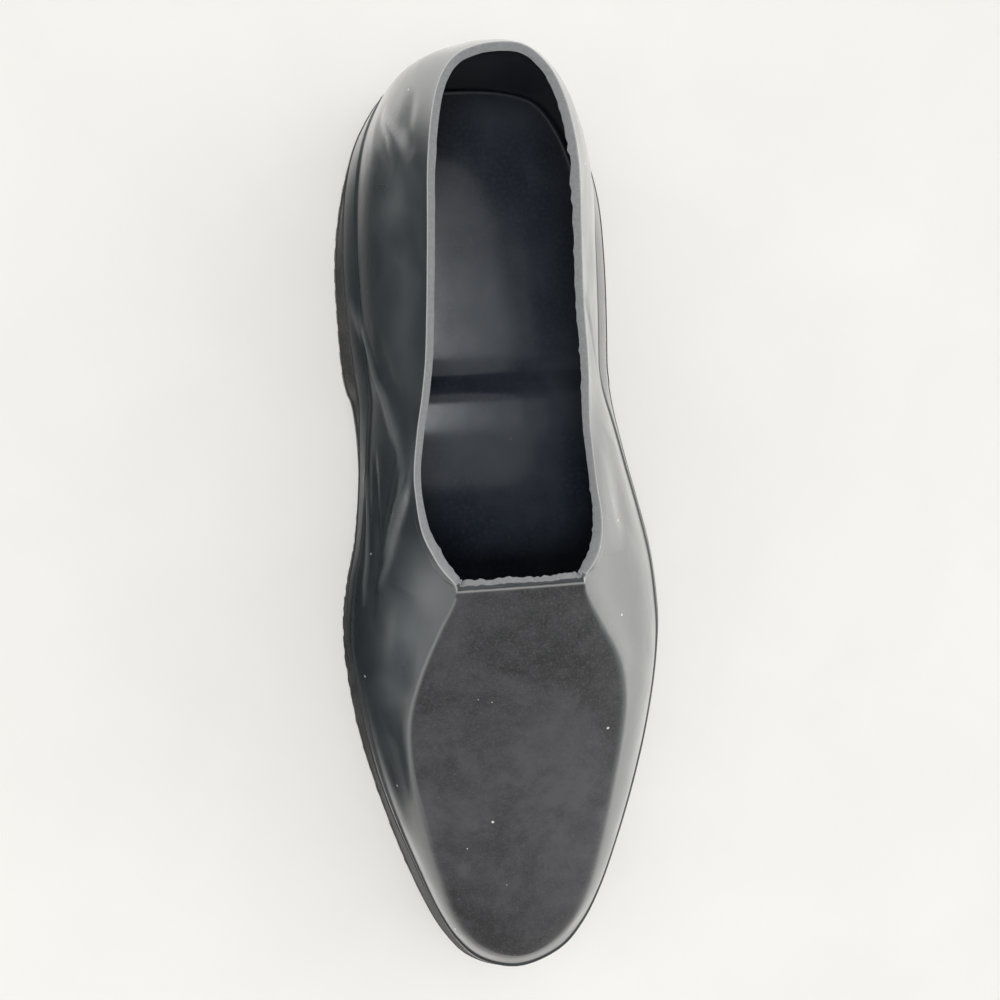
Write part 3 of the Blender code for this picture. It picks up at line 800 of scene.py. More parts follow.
def lighter_patch_mask():
    """Lighter round patches on the medial wall, painted highlights beside the throat."""
    patches = np.zeros(len(skin))
    for station, height, radius, strength in LIGHTER_PATCHES:
        gap = np.hypot(skin[:, 1] - station, way_up - height)
        patches += strength * np.exp(-(gap / radius) ** 2)
    return np.clip(patches, 0.0, 1.0) * (~on_panel & (skin[:, 0] < MIDDLE_OFFSET))


# The ridge line is rubbed wear with a painted highlight; the band line, the fold crests and the
# lighter patches beside the throat are painted highlights.
masks = {
    "panel": panel_mask(), "dusty": np.interp(skin[:, 1], *DUSTY), "ridge": rubbed_and_highlit_ridges(),
    "band": band_edge_highlight, "crest": fold_crest_highlight, "bloomed": lighter_patch_mask(),
}
print("masks:", ", ".join(masks))

# %% Add a closed mesh as an object
CREASE_DEGREES = 50.0


def add_piece(name, points, faces):
    """One closed body from table points, as a new object."""
    mesh = bpy.data.meshes.new(name)
    corners = [tuple(int(i) for i in face) for face in faces]
    mesh.from_pydata([tuple(p) for p in place(points)], [], corners)
    mesh.update()
    piece = bpy.data.objects.new(name, mesh)
    bpy.context.scene.collection.objects.link(piece)
    return piece


def smooth(mesh, sharp_degrees):
    """Smooth shading, with faces that meet at a larger angle left sharp."""
    mesh.shade_smooth()
    mesh.set_sharp_from_angle(angle=math.radians(sharp_degrees))


def finish_mesh(piece):
    """Faces outward, and smooth but for the creases."""
    work = bmesh.new()
    work.from_mesh(piece.data)
    bmesh.ops.recalc_face_normals(work, faces=work.faces)
    work.to_mesh(piece.data)
    work.free()
    smooth(piece.data, CREASE_DEGREES)


def add_mask(name, values):
    """Gives each vertex of the upper one value of a mask."""
    layer = upper.data.attributes.new(name, "FLOAT", "POINT")
    layer.data.foreach_set("value", values.astype(np.float32))


upper = add_piece("overshoe_upper", upper_points, upper_faces)
no_mask = np.zeros(len(upper_points))
for name, values in masks.items():
    add_mask(name, np.concatenate((values, values, no_mask[2 * len(skin):])))
lip_mask = no_mask.copy()
lip_mask[collar_loop] = 1.0
add_mask("lip", lip_mask)
finish_mesh(upper)
print("upper:", len(upper.data.polygons), "faces")

# %% [markdown]
# ## Outsole
# The sole is moulded in one with its heel: flat under heel and ball, raised at the waist,
# and sprung up at the toe. A thin ledge runs round the tread layer. It is built as a stack
# of closed outlines, each one the upper's foot moved outward, and the tread's grooves are
# cut across it. A little flash is left along the medial edge of the ball.

# %% Outsole from stacked outlines
SOLE_LIP = 0.4
LIP_INSET = 0.35   # small bevel where the upper stands
LIP_CLIMB = 1.04   # how early the sole's side reaches its top
TREAD_LAYER = 3.0

# Each row of SOLE_ROWS, from the underside up: reach past the tread edge, lift above the
# underside, and share of the way to the upper's foot.
SOLE_ROWS = (
    (-0.6, 0.0, 0.0),
    (-0.15, 0.1, 0.0),
    (0.0, 0.45, 0.0),
    (-0.12, 1.3, 0.0),
    (-0.25, 2.3, 0.0),
    (-0.4, 2.85, 0.0),
    (-0.9, 3.15, 0.0),
    (-1.0, 3.5, 0.0),
    (-1.0, 3.5, 0.12),
    (-1.0, 3.5, 0.35),
    (-1.0, 3.5, 0.6),
    (-1.0, 3.5, 0.82),
    (-1.0, 3.5, 0.96),
    (-1.4, 3.5, 1.0),
)

FLASH_STATIONS = (140.0, 290.0)
FLASH_ENDS = 12.0  # walk over which the flash fades in and out
FLASH_REACH = 0.3
FLASH_GRAIN = 1.5
FLASH_SHARPNESS = 1.5
FLASH_SEED = 71


def tread_flash():
    """Ragged flash along the medial tread edge, from the waist to the toe."""
    first, last = FLASH_STATIONS
    station = rib_foot[:, 1]
    there = soft_step((station - first) / FLASH_ENDS) * soft_step((last - station) / FLASH_ENDS)
    there *= np.arange(rib_count) < toe_rib
    teeth = uneven(way_round(rib_foot), FLASH_GRAIN, FLASH_SEED) ** FLASH_SHARPNESS
    return FLASH_REACH * there * teeth


def sole_rings():
    """Closed outlines of the sole from its underside to its top."""
    lip = rib_rand + SOLE_LIP
    flash = tread_flash()
    rings = []
    for from_edge, lift, lip_share in SOLE_ROWS:
        reach = (1.0 - lip_share) * (rib_sole + from_edge) + lip_share * lip
        if lip_share == 1.0:
            reach = reach - LIP_INSET
        if 0.0 < lift < TREAD_LAYER:
            reach = reach + flash
        ring = rib_foot + rib_outward * reach[:, None]
        low = smooth_level("under", ring[:, 1]) + lift
        climb = min(1.0, lip_share * LIP_CLIMB)
        height = (1.0 - climb) * low + climb * smooth_level("top", ring[:, 1])
        rings.append(np.column_stack((ring, height)))
    return rings


def ring_stack(rings):
    """Points and faces of a closed body from outlines, with strips as its two caps."""
    count = len(rings[0])
    faces = []
    for k in range(len(rings) - 1):
        low, high = k * count, (k + 1) * count
        for i in range(count):
            j = (i + 1) % count
            faces.append((low + i, low + j, high + j, high + i))
    for base in (0, (len(rings) - 1) * count):
        faces.append((base, base + 1, base + count - 1))
        for i in range(1, toe_rib - 1):
            faces.append((base + i, base + i + 1, base + count - i - 1, base + count - i))
        faces.append((base + toe_rib - 1, base + toe_rib, base + toe_rib + 1))
    return np.vstack(rings), faces


outsole = add_piece("overshoe_outsole", *ring_stack(sole_rings()))
finish_mesh(outsole)
print("plain sole:", len(outsole.data.polygons), "faces")

# %% Grooves across the tread
GROOVE_WIDTH = 2.6
GROOVE_DEPTH = 1.7
GROOVE_PITCH = 7.0
GROOVE_START = 3.0            # how far below the sole a bar starts
GROOVE_ENDS = (-75.0, 85.0)    # ends of a bar, past both sides of the sole
HEEL_TREAD = (11.0, 96.0)
FORE_TREAD = (176.0, 305.0)
BAR_FACES = ((0, 1, 3, 2), (4, 6, 7, 5), (0, 4, 5, 1), (2, 3, 7, 6), (0, 2, 6, 4), (1, 5, 7, 3))
SOLE_SHARP_DEGREES = 40.0


def groove_bars():
    """Bars across the sole, one for each groove of the tread."""
    points, faces = [], []
    for first, last in (HEEL_TREAD, FORE_TREAD):
        count = round((last - first) / GROOVE_PITCH)
        for n in range(count + 1):
            middle = first + (last - first) * n / count
            start = len(points)
            for station in (middle - 0.5 * GROOVE_WIDTH, middle + 0.5 * GROOVE_WIDTH):
                under = float(smooth_level("under", station))
                for x in GROOVE_ENDS:
                    points.append((x, station, under - GROOVE_START))
                    points.append((x, station, under + GROOVE_DEPTH))
            faces += [tuple(start + corner for corner in face) for face in BAR_FACES]
    return points, faces


bars = add_piece("groove_bars", *groove_bars())
finish_mesh(bars)
cut = outsole.modifiers.new("tread_grooves", "BOOLEAN")
cut.operation = "DIFFERENCE"
cut.solver = "EXACT"
cut.object = bars
carved = outsole.evaluated_get(bpy.context.evaluated_depsgraph_get())
grooved = bpy.data.meshes.new_from_object(carved)
outsole.modifiers.clear()
outsole.data = grooved
bpy.data.objects.remove(bars, do_unlink=True)
smooth(outsole.data, SOLE_SHARP_DEGREES)
print("outsole:", len(outsole.data.polygons), "faces")

# %% [markdown]
# ## Inner floor
# Inside, the floor is a separate moulding that drops down the breast into the hollow heel
# seat. It meets the wall in a small cove, so no dirt gathers in a corner. A grid of strips
# from wall to wall carries both the step and the cove.

# %% Insole with its cove
COVE = 1.3              # radius of the corner at the wall
COVE_LIFT = 0.8         # how high it climbs there
FLOOR_STRIPS = 40
FLOOR_EVENNESS = 0.5
FLOOR_GAP = 0.1         # clear gap to the wall


def insole_mesh():
    """Points and faces of the inner floor, wall to wall."""
    edge = (skin[foot_loop] - foot_outward * WALL)[:, :2]
    edge = edge - outward_of(edge) * FLOOR_GAP
    shares = closer_at_ends(FLOOR_STRIPS, FLOOR_EVENNESS)
    grid, index = [tuple(edge[0])], [[0] * (FLOOR_STRIPS + 1)]
    for i in range(1, toe_rib):
        medial, lateral = edge[i], edge[rib_count - i]
        index.append(list(range(len(grid), len(grid) + FLOOR_STRIPS + 1)))
        grid += [tuple((1.0 - share) * medial + share * lateral) for share in shares]
    index.append([len(grid)] * (FLOOR_STRIPS + 1))
    grid.append(tuple(edge[toe_rib]))
    grid = np.array(grid)
    gap, _ = nearest_on_loop(grid, edge)
    corner = 1.0 - np.clip(gap / COVE, 0.0, 1.0)
    cove = COVE_LIFT * (1.0 - np.sqrt(1.0 - corner ** 2))
    seat = smooth_level("top", grid[:, 1]) + INSOLE_SEAT
    top = np.column_stack((grid, seat + INSOLE_THICK + cove))
    bottom = np.column_stack((grid, seat))
    faces = []
    for near, far in zip(index, index[1:]):
        for m in range(FLOOR_STRIPS):
            face = [near[m], near[m + 1], far[m + 1], far[m]]
            kept = [v for n, v in enumerate(face) if v != face[n - 1]]
            if len(kept) > 2:
                faces.append(tuple(kept))
    total = len(grid)
    closed = faces + [tuple(v + total for v in reversed(face)) for face in faces]
    ring = [row[0] for row in index] + [row[-1] for row in index][-2:0:-1]
    for a, b in zip(ring, ring[1:] + ring[:1]):
        closed.append((a, a + total, b + total, b))
    return np.vstack((top, bottom)), closed


insole = add_piece("overshoe_insole", *insole_mesh())
finish_mesh(insole)
print("insole:", len(insole.data.polygons), "faces")

# %% [markdown]
# ## Shader effects
# Four effects make up the finish, each a node group with named inputs: the fine grain of
# moulded rubber, the smoky bloom that rises to its surface, white dust specks, and thin
# scuffs. They put out masks and heights only, so that each material keeps its own shader.

# %% Short ways to add nodes
class Nodes:
    """Adds nodes to one tree. A value may be a number, a colour or another node's socket."""

    def __init__(self, tree):
        self.tree = tree

    def fill(self, node, values):
        """A node with its inputs set or linked."""
        for key, value in values.items():
            if isinstance(value, bpy.types.NodeSocket):
                self.tree.links.new(value, node.inputs[key])
            else:
                node.inputs[key].default_value = value
        return node

    def add(self, kind, values=None, **properties):
        """A new node with its properties and inputs."""
        node = self.tree.nodes.new(kind)
        for key, value in properties.items():
            setattr(node, key, value)
        return self.fill(node, values or {})

    def maths(self, operation, a, b=0.0):
        """One sum on two values."""
        return self.add("ShaderNodeMath", {0: a, 1: b}, operation=operation).outputs[0]

    def times(self, a, b):
        """The product of two values."""
        return self.maths("MULTIPLY", a, b)

    def plus(self, a, b):
        """The sum of two values."""
        return self.maths("ADD", a, b)

    def minus(self, a, b):
        """The difference of two values."""
        return self.maths("SUBTRACT", a, b)

    def ramp(self, value, low, high, to_low=0.0, to_high=1.0):
        """A value stretched from one range to another, smooth at its ends."""
        return self.add("ShaderNodeMapRange", {
            "Value": value, "From Min": low, "From Max": high,
            "To Min": to_low, "To Max": to_high,
        }, interpolation_type="SMOOTHSTEP").outputs["Result"]

    def noise(self, spot, scale, detail, roughness, distortion=0.0):
        """Cloudy noise from 0 to 1."""
        return self.add("ShaderNodeTexNoise", {
            "Vector": spot, "Scale": scale, "Detail": detail,
            "Roughness": roughness, "Distortion": distortion,
        }).outputs["Fac"]

    def blend(self, mask, base, other):
        """A number that goes over to another where the mask is high."""
        return self.add("ShaderNodeMix", {0: mask, 2: base, 3: other}).outputs[0]

    def tint(self, mask, base, colour):
        """A colour laid over another where the mask is high."""
        return self.add(
            "ShaderNodeMix", {0: mask, 6: base, 7: colour}, data_type="RGBA").outputs[2]

    def mask(self, name):
        """A mask that the mesh carries."""
        return self.add("ShaderNodeAttribute", attribute_name=name).outputs["Fac"]

    def bump(self, height, strength, distance, below=None):
        """Normals bent by a height, over those of another bump."""
        under = {} if below is None else {"Normal": below}
        return self.add("ShaderNodeBump", {
            "Height": height, "Strength": strength, "Distance": distance, **under,
        }).outputs["Normal"]

    def effect(self, group, spot, **inputs):
        """The outputs of an effect, placed on the piece."""
        return self.add("ShaderNodeGroup", {"Place": spot, **inputs}, node_tree=group).outputs

    def spot(self, kind="Object"):
        """The place on the piece, or the heading in the room."""
        return self.add("ShaderNodeTexCoord").outputs[kind]

    def axes(self, kind="Object"):
        """X, Y and Z of a place or a heading."""
        return self.add("ShaderNodeSeparateXYZ", {0: self.spot(kind)}).outputs


print(len([name for name in vars(Nodes) if not name.startswith("_")]), "ways to add nodes")

# %% Grain, bloom, dust and scuffs
def effect_group(name, inputs, outputs):
    """An empty effect: its group, its nodes, what goes in and what comes out."""
    tree = bpy.data.node_groups.new(name, "ShaderNodeTree")
    tree.interface.new_socket(name="Place", in_out="INPUT", socket_type="NodeSocketVector")
    for label, value in inputs.items():
        socket = tree.interface.new_socket(
            name=label, in_out="INPUT", socket_type="NodeSocketFloat")
        socket.default_value = value
    for label in outputs:
        tree.interface.new_socket(name=label, in_out="OUTPUT", socket_type="NodeSocketFloat")
    nodes = Nodes(tree)
    return tree, nodes, nodes.add("NodeGroupInput").outputs, nodes.add("NodeGroupOutput")


grain, nodes, given, result = effect_group(
    "rubber_grain", {"Scale": 1400.0}, ("Height", "Patches"))
nodes.fill(result, {
    "Height": nodes.noise(given["Place"], given["Scale"], detail=4.0, roughness=0.65),
    "Patches": nodes.noise(given["Place"], 160.0, detail=3.0, roughness=0.5),
})

bloom, nodes, given, result = effect_group(
    "smoky_bloom", {"Scale": 30.0, "Amount": 0.5}, ("Mask",))
cloud = nodes.noise(given["Place"], given["Scale"], detail=3.0, roughness=0.55, distortion=0.4)
finer = nodes.times(given["Scale"], 3.3)
wisps = nodes.noise(given["Place"], finer, detail=2.0, roughness=0.5, distortion=0.5)
mixed = nodes.plus(nodes.times(cloud, 0.65), nodes.times(wisps, 0.35))
nodes.fill(result, {"Mask": nodes.times(nodes.ramp(mixed, 0.28, 0.76), given["Amount"])})

dust, nodes, given, result = effect_group(
    "dust_specks", {"Scale": 260.0, "Amount": 0.05, "Size": 0.11}, ("Mask",))
cells = nodes.add("ShaderNodeTexVoronoi", {
    "Vector": given["Place"], "Scale": given["Scale"], "Randomness": 1.0,
}, feature="F1").outputs
chance = nodes.add("ShaderNodeSeparateColor", {0: cells["Color"]}).outputs
chosen = nodes.maths("LESS_THAN", chance["Red"], given["Amount"])
size = nodes.times(given["Size"], nodes.plus(chance["Green"], 0.35))
dot = nodes.maths("LESS_THAN", cells["Distance"], size)
nodes.fill(result, {"Mask": nodes.times(chosen, dot)})

scuff, nodes, given, result = effect_group("fine_scuffs", {"Amount": 0.5}, ("Mask",))
turned = nodes.add("ShaderNodeMapping", {
    "Vector": given["Place"], "Rotation": (0.3, 0.2, 0.7), "Scale": (420.0, 22.0, 140.0),
}).outputs[0]
streaks = nodes.noise(turned, 1.0, detail=2.0, roughness=0.5, distortion=0.4)
places = nodes.noise(given["Place"], 45.0, detail=2.0, roughness=0.5)
lines = nodes.times(nodes.ramp(streaks, 0.66, 0.74), nodes.ramp(places, 0.5, 0.62))
nodes.fill(result, {"Mask": nodes.times(lines, given["Amount"])})
print("shader effects:", ", ".join(group.name for group in bpy.data.node_groups))

# %% [markdown]
# ## Materials
# Black rubber looks grey at a glancing angle, because it mirrors the pale floor there, and
# nearly black where it is seen straight on. So the colours stay very dark, and the gloss
# does most of the rest; painted highlights lie along the ridges, the throat band's edge and
# the fold crests, and on the medial wall beside the throat. Dust and bloom make the vamp
# panel dull, the knife cut is light and dull, and the inside is a smoky blue-black.

# %% Rubber of the upper's outside
def rgb(red, green, blue):
    """An opaque colour."""
    return red, green, blue, 1.0


def grey(value):
    """An opaque grey."""
    return rgb(value, value, value)


def new_material(name):
    """An empty material and its nodes."""
    material = bpy.data.materials.new(name)
    material.use_nodes = True
    material.node_tree.nodes.clear()
    return material, Nodes(material.node_tree)


def show(nodes, shader):
    """Makes a shader node the surface of its material."""
    nodes.add("ShaderNodeOutputMaterial", {"Surface": shader.outputs[0]})
    return shader


def new_finish(name):
    """A material with its principled shader, its nodes and the place on the piece."""
    material, nodes = new_material(name)
    return material, nodes, show(nodes, nodes.add("ShaderNodeBsdfPrincipled")), nodes.spot()


SIDE_BLACK, SIDE_BLOOM = rgb(0.016, 0.020, 0.023), rgb(0.050, 0.057, 0.062)
PATCH_GREY = rgb(0.135, 0.143, 0.150)
PANEL_BLACK, PANEL_DUST = rgb(0.0045, 0.0048, 0.0060), rgb(0.062, 0.062, 0.069)
PANEL_GRAIN = rgb(0.072, 0.071, 0.072)
SCUFF_GREY = grey(0.12)
SPECK_WHITE = rgb(0.62, 0.60, 0.57)
# Lighter lines, one a row with mask, strength and colour: the ridges, rubbed and with a
# painted highlight; a painted highlight at the throat band's edge; the trimmed collar edge;
# and a painted highlight on the fold crests.
RUBBED_AND_HIGHLIGHT_LINES = (
    ("ridge", 1.0, grey(0.20)),
    ("band", 0.35, grey(0.25)),
    ("lip", 0.6, rgb(0.36, 0.36, 0.35)),
    ("crest", 0.26, rgb(0.30, 0.31, 0.32)),
)
RUBBER_IOR = 1.6
PANEL_ROUGHNESS = 0.52

skin_rubber, nodes, shader, spot = new_finish("black_rubber")
fine = nodes.effect(grain, spot, Scale=1300.0)
haze = nodes.effect(bloom, spot, Scale=24.0, Amount=1.0)["Mask"]
specks = nodes.effect(dust, spot, Scale=230.0, Amount=0.035, Size=0.10)["Mask"]
scuffs = nodes.effect(scuff, spot, Amount=0.2)["Mask"]
panel = nodes.mask("panel")

side = nodes.tint(nodes.times(haze, 0.5), SIDE_BLACK, SIDE_BLOOM)
# Lighter patches on the medial wall; those beside the throat are painted highlights.
patch_share = nodes.times(nodes.mask("bloomed"), nodes.ramp(haze, 0.0, 0.8, 0.65, 1.0))
side = nodes.tint(patch_share, side, PATCH_GREY)

smudges = nodes.noise(spot, 30.0, detail=8.0, roughness=0.78, distortion=0.3)
smudges = nodes.ramp(smudges, 0.36, 0.64)
rubbed = nodes.plus(nodes.times(nodes.mask("dusty"), 0.44), nodes.times(smudges, 0.62))
rubbed = nodes.times(rubbed, nodes.plus(nodes.times(fine["Patches"], 0.9), 0.55))
dusty = nodes.tint(rubbed, PANEL_BLACK, PANEL_DUST)
dusty = nodes.tint(nodes.ramp(fine["Height"], 0.46, 0.78), dusty, PANEL_GRAIN)

colour = nodes.tint(panel, side, dusty)
colour = nodes.tint(nodes.times(scuffs, 0.15), colour, SCUFF_GREY)
# Lighter lines over the colour, most of them painted highlights.
for name, strength, shade in RUBBED_AND_HIGHLIGHT_LINES:
    colour = nodes.tint(nodes.times(nodes.mask(name), strength), colour, shade)
patches = nodes.bump(fine["Patches"], strength=0.12, distance=0.0006)
nodes.fill(shader, {
    "Base Color": nodes.tint(specks, colour, SPECK_WHITE),
    "Roughness": nodes.blend(panel, nodes.ramp(haze, 0.0, 1.0, 0.27, 0.36), PANEL_ROUGHNESS),
    "Normal": nodes.bump(fine["Height"], strength=0.25, distance=0.00012, below=patches),
    "IOR": RUBBER_IOR,
})
print("outside rubber:", len(skin_rubber.node_tree.nodes), "nodes")

# %% Cut edge and inside
CUT_DARK, CUT_PALE = rgb(0.15, 0.155, 0.165), rgb(0.27, 0.275, 0.285)
PIT_GREY = rgb(0.30, 0.31, 0.32)
LIP_PALE = rgb(0.50, 0.50, 0.48)
INSIDE_BLACK, INSIDE_SMOKE = rgb(0.015, 0.020, 0.032), rgb(0.048, 0.056, 0.070)
INSIDE_GRAIN = rgb(0.040, 0.046, 0.056)
INSIDE_SPECK = grey(0.25)

cut_rubber, nodes, shader, spot = new_finish("cut_rubber")
fine = nodes.effect(grain, spot, Scale=900.0)
pits = nodes.effect(grain, spot, Scale=2600.0)["Height"]
colour = nodes.tint(fine["Height"], CUT_DARK, CUT_PALE)
colour = nodes.tint(nodes.ramp(pits, 0.55, 0.72), colour, PIT_GREY)
pitted = nodes.bump(pits, strength=0.6, distance=0.0001)
nodes.fill(shader, {
    "Base Color": nodes.tint(nodes.times(nodes.mask("lip"), 0.8), colour, LIP_PALE),
    "Roughness": nodes.ramp(fine["Patches"], 0.3, 0.7, 0.6, 0.85),
    "Normal": nodes.bump(fine["Height"], strength=0.7, distance=0.0003, below=pitted),
})

inner_rubber, nodes, shader, spot = new_finish("inner_rubber")
fine = nodes.effect(grain, spot, Scale=700.0)
haze = nodes.effect(bloom, spot, Scale=17.0, Amount=1.0)["Mask"]
specks = nodes.effect(dust, spot, Scale=300.0, Amount=0.05, Size=0.08)["Mask"]
colour = nodes.tint(haze, INSIDE_BLACK, INSIDE_SMOKE)
colour = nodes.tint(nodes.ramp(fine["Height"], 0.40, 0.90), colour, INSIDE_GRAIN)
patches = nodes.bump(fine["Patches"], strength=0.10, distance=0.0003)
nodes.fill(shader, {
    "Base Color": nodes.tint(specks, colour, INSIDE_SPECK),
    "Roughness": nodes.ramp(haze, 0.0, 1.0, 0.15, 0.22),
    "Normal": nodes.bump(fine["Height"], strength=0.15, distance=0.00008, below=patches),
})
print("cut edge and inside:", cut_rubber.name, "and", inner_rubber.name)

# %% Sole rubber
SOLE_BLACK, SOLE_DUST = rgb(0.024, 0.024, 0.025), rgb(0.065, 0.063, 0.060)
SOLE_GRAIN = rgb(0.09, 0.088, 0.084)

sole_rubber, nodes, shader, spot = new_finish("sole_rubber")
fine = nodes.effect(grain, spot, Scale=1000.0)
haze = nodes.effect(bloom, spot, Scale=40.0, Amount=1.0)["Mask"]
colour = nodes.tint(haze, SOLE_BLACK, SOLE_DUST)
nodes.fill(shader, {
    "Base Color": nodes.tint(nodes.ramp(fine["Height"], 0.5, 0.8), colour, SOLE_GRAIN),
    "Roughness": nodes.ramp(haze, 0.0, 1.0, 0.42, 0.62),
    "Normal": nodes.bump(fine["Height"], strength=0.35, distance=0.0002),
})

for piece, coats in (
    (upper, (skin_rubber, cut_rubber, inner_rubber)),
    (outsole, (sole_rubber,)),
    (insole, (inner_rubber,)),
):
    piece.data.materials.clear()
    for coat in coats:
        piece.data.materials.append(coat)
upper.data.polygons.foreach_set("material_index", upper_slots)
print("materials:", ", ".join(coat.name for coat in bpy.data.materials if coat.users))

# %% Each piece rides on the shoe and stands for its solid
for piece, node, slot in (
    (upper, "upper", "rubber_upper"),
    (outsole, "outsole", "rubber_sole"),
    (insole, "insole", "rubber_insole"),
):
    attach(piece, "root")
    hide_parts(node)
    print(piece.name, "stands for", node)

# %% [markdown]
# ## Floor and light
# The floor is a pale painted board with faint smudges, and the light is soft and comes from
# all round. Glossy black rubber is drawn by what it mirrors, so a studio sets a dark card on
# one side of it, a bright sweep on the other and a bright window above. They show in the
# rubber's gloss only: neither the camera nor the floor sees them. The card fades out at its
# top and ends, so the dark side turns light without a hard line.

# %% Pale floor
FLOOR_HALF = 3.0
PAINT_DARK, PAINT_PALE = rgb(0.83, 0.82, 0.795), rgb(0.87, 0.86, 0.84)
FLECK_GREY = rgb(0.5, 0.49, 0.47)
PAINT_ROUGHNESS = 0.8


def add_sheet(name, half_width, half_length, middle):
    """A flat, level sheet of the stage with its middle at a place in metres."""
    x, y = half_width, half_length
    mesh = bpy.data.meshes.new(name)
    mesh.from_pydata([(-x, -y, 0.0), (x, -y, 0.0), (x, y, 0.0), (-x, y, 0.0)], [], [(0, 1, 2, 3)])
    sheet = bpy.data.objects.new(name, mesh)
    sheet.location = middle
    bpy.context.scene.collection.objects.link(sheet)
    return sheet


floor = add_sheet("floor", FLOOR_HALF, FLOOR_HALF, (0.0, 0.0, 0.0))
floor_paint, nodes, shader, spot = new_finish("pale_paint")
smudge = nodes.effect(bloom, spot, Scale=7.0, Amount=1.0)["Mask"]
fleck = nodes.effect(dust, spot, Scale=45.0, Amount=0.03, Size=0.03)["Mask"]
colour = nodes.tint(smudge, PAINT_DARK, PAINT_PALE)
nodes.fill(shader, {
    "Base Color": nodes.tint(nodes.times(fleck, 0.4), colour, FLECK_GREY),
    "Roughness": PAINT_ROUGHNESS,
    "Specular IOR Level": 0.0,
})
floor.data.materials.append(floor_paint)
print("floor:", 2.0 * FLOOR_HALF, "m wide")

# %% Dark card beside the medial side
# The card's outline on the floor in millimetres, x and y.
CARD = (
    (-59.0, 140.0),
    (-60.0, 20.0),
    (-61.0, -50.0),
    (-70.0, -92.0),
    (-96.0, -124.0),
    (-150.0, -120.0),
    (-172.0, -40.0),
    (-166.0, 80.0),
    (-135.0, 160.0),
    (-78.0, 172.0),
)
CARD_HEIGHTS = (0.5, 95.0)
CARD_TOP_AT_MIDDLE = 0.029  # metres, as all sizes of the stage below
CARD_TOP_RISE = 0.20        # how much the top climbs towards the heel
CARD_TOP_FADE = 0.056
CARD_TOE_FADE = (-0.122, -0.094)
HEEL_FADE = (0.124, 0.166)
CARD_CLOTH = rgb(0.050, 0.066, 0.078)


def only_in_gloss(thing):
    """Keeps a stage piece from the camera, the floor and the shadows."""
    thing.visible_camera = False
    thing.visible_diffuse = False
    thing.visible_shadow = False


card_mesh = bpy.data.meshes.new("shade_card")
work = bmesh.new()
for x, y in CARD:
    for z in CARD_HEIGHTS:
        work.verts.new((x * MM, y * MM, z * MM))
bmesh.ops.convex_hull(work, input=work.verts)
work.to_mesh(card_mesh)
work.free()
card = bpy.data.objects.new("shade_card", card_mesh)
bpy.context.scene.collection.objects.link(card)
card_black, nodes = new_material("card_black")
axes = nodes.axes()
card_top = nodes.plus(nodes.times(axes["Y"], CARD_TOP_RISE), CARD_TOP_AT_MIDDLE)
over_top = nodes.minus(axes["Z"], card_top)
dense = nodes.ramp(over_top, -0.5 * CARD_TOP_FADE, 0.5 * CARD_TOP_FADE, 1.0, 0.0)
dense = nodes.times(dense, nodes.ramp(axes["Y"], *CARD_TOE_FADE))
dense = nodes.times(dense, nodes.ramp(axes["Y"], *HEEL_FADE, 1.0, 0.0))
clear = nodes.add("ShaderNodeBsdfTransparent").outputs[0]
cloth = nodes.add("ShaderNodeBsdfDiffuse", {"Color": CARD_CLOTH}).outputs[0]
show(nodes, nodes.add("ShaderNodeMixShader", {0: dense, 1: clear, 2: cloth}))
card_mesh.materials.append(card_black)
only_in_gloss(card)
print("card:", len(card_mesh.polygons), "faces")

# %% Bright sweep round the other sides
SWEEP_HALF = 0.9
SWEEP_HEIGHT = 0.0003
SWEEP_COLOUR = rgb(1.0, 0.985, 0.945)
SWEEP_NEAR = 1.75
SWEEP_FAR = 5.4
SWEEP_SPREAD = (0.07, 0.34)
SHOE_HALF = 0.10                # half the length beside which the glow is even
SHADE_EDGE = (-0.062, -0.046)
SHADE_TOE_FADE = (-0.132, -0.102)
SHADE_STRENGTH = 0.97
TOE_DIMMING = (-0.34, -0.15, 0.3, 1.0)
MEDIAL_DIMMING = (-0.12, 0.0, 0.62, 1.0)
FULL_BEHIND = (-0.06, 0.04)

sweep = add_sheet("bright_sweep", SWEEP_HALF, SWEEP_HALF, (0.0, 0.0, SWEEP_HEIGHT))
sweep_glow, nodes = new_material("sweep_glow")
x, y, _ = nodes.axes()
past_ends = nodes.maths("MAXIMUM", nodes.minus(nodes.maths("ABSOLUTE", y), SHOE_HALF), 0.0)
squares = nodes.plus(nodes.maths("POWER", x, 2.0), nodes.maths("POWER", past_ends, 2.0))
open_glow = nodes.ramp(nodes.maths("SQRT", squares), *SWEEP_SPREAD, SWEEP_NEAR, SWEEP_FAR)
lengthwise = nodes.times(nodes.ramp(y, *SHADE_TOE_FADE), nodes.ramp(y, *HEEL_FADE, 1.0, 0.0))
shade = nodes.times(nodes.ramp(x, *SHADE_EDGE, 1.0, 0.0), lengthwise)
lit = nodes.minus(1.0, nodes.times(shade, SHADE_STRENGTH))
medial = nodes.maths("MAXIMUM", nodes.ramp(x, *MEDIAL_DIMMING), nodes.ramp(y, *FULL_BEHIND))
lit = nodes.times(lit, nodes.times(nodes.ramp(y, *TOE_DIMMING), medial))
show(nodes, nodes.add("ShaderNodeEmission", {
    "Color": SWEEP_COLOUR, "Strength": nodes.times(open_glow, lit),
}))
sweep.data.materials.append(sweep_glow)
only_in_gloss(sweep)
print("sweep glows from", SWEEP_NEAR, "beside the shoe to", SWEEP_FAR, "far out")

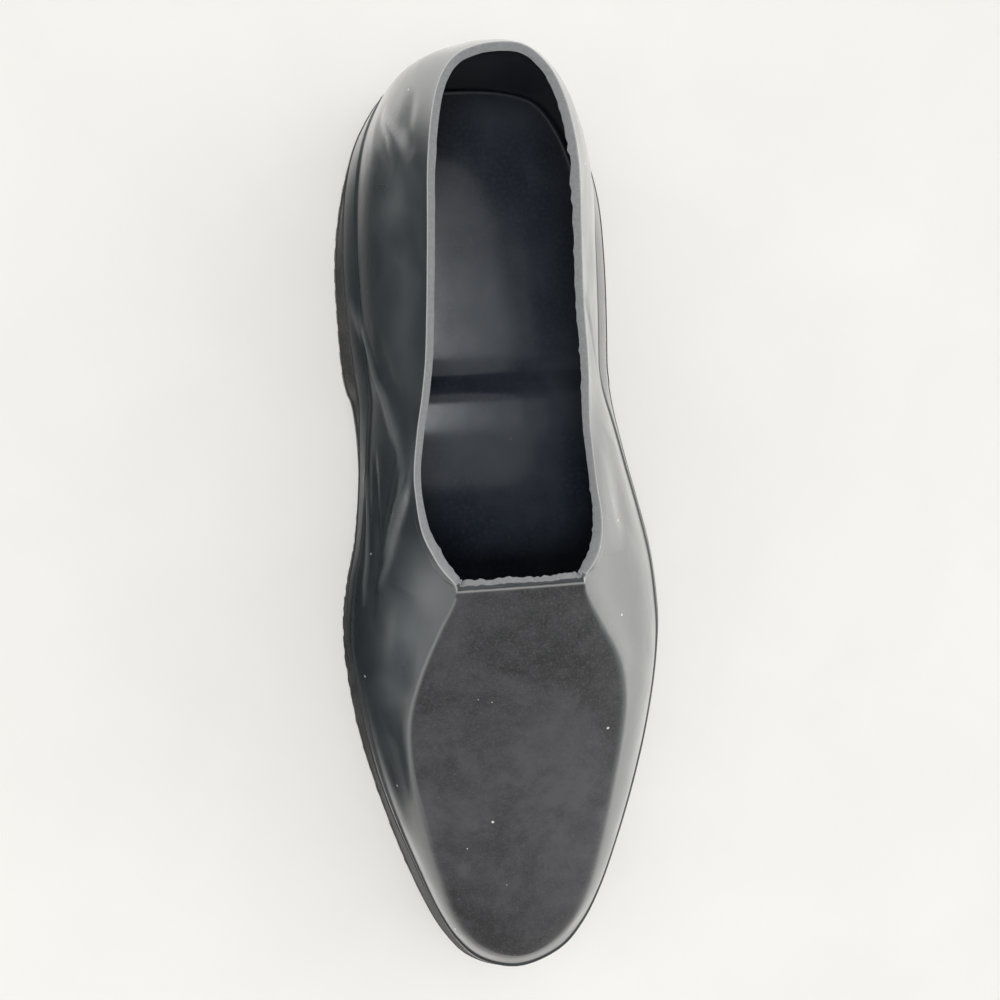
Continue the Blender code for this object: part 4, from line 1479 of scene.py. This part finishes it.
# %% Soft studio light
ROOM_COLOUR = rgb(0.985, 0.985, 0.97)
HORIZON_GLOW = 3.2
OVERHEAD_GLOW = 0.64
GLOW_HEIGHTS = (0.06, 0.34)
LATERAL_LIFT = 0.24    # how far the bright horizon climbs on the lateral side
AHEAD_DIMMING = 0.78   # how much darker the room is ahead of the toe
LAMP_PLACE = Vector((-0.21, -0.03, 1.5))
LAMP_AIM = Vector((0.0, 0.0, 0.02))
LAMP_SIZE = 0.34
LAMP_POWER = 9.2

world = bpy.data.worlds.new("soft_room")
world.use_nodes = True
nodes = Nodes(world.node_tree)
x, y, z = nodes.axes("Generated")
climb = nodes.minus(z, nodes.times(nodes.maths("MAXIMUM", x, 0.0), LATERAL_LIFT))
glow = nodes.ramp(climb, *GLOW_HEIGHTS, HORIZON_GLOW, OVERHEAD_GLOW)
ahead = nodes.maths("MAXIMUM", nodes.times(y, -1.0), 0.0)
dimmed = nodes.minus(1.0, nodes.times(nodes.maths("POWER", ahead, 2.0), AHEAD_DIMMING))
nodes.fill(world.node_tree.nodes["Background"], {
    "Color": ROOM_COLOUR, "Strength": nodes.times(glow, dimmed),
})
bpy.context.scene.world = world

lamp = bpy.data.lights.new("ceiling_light", "AREA")
lamp.size = LAMP_SIZE
lamp.energy = LAMP_POWER
light = bpy.data.objects.new("ceiling_light", lamp)
light.location = LAMP_PLACE
light.rotation_euler = (LAMP_AIM - LAMP_PLACE).to_track_quat("-Z", "Y").to_euler()
light.visible_glossy = False
bpy.context.scene.collection.objects.link(light)
bpy.context.scene.view_settings.view_transform = "Standard"
print("one lamp of", LAMP_POWER, "watts and a pale room")

# %% Bright window that only the gloss shows
WINDOW_PLACE = (0.030, 0.10, 1.5)
WINDOW_WIDTH = 0.09
WINDOW_LENGTH = 0.34
WINDOW_COLOUR = rgb(0.95, 0.98, 1.0)
WINDOW_GLOW = 17.0

window = add_sheet("bright_window", 0.5 * WINDOW_WIDTH, 0.5 * WINDOW_LENGTH, WINDOW_PLACE)
pane, nodes = new_material("window_pane")
show(nodes, nodes.add("ShaderNodeEmission", {"Color": WINDOW_COLOUR, "Strength": WINDOW_GLOW}))
window.data.materials.append(pane)
only_in_gloss(window)
print("window at", WINDOW_PLACE)
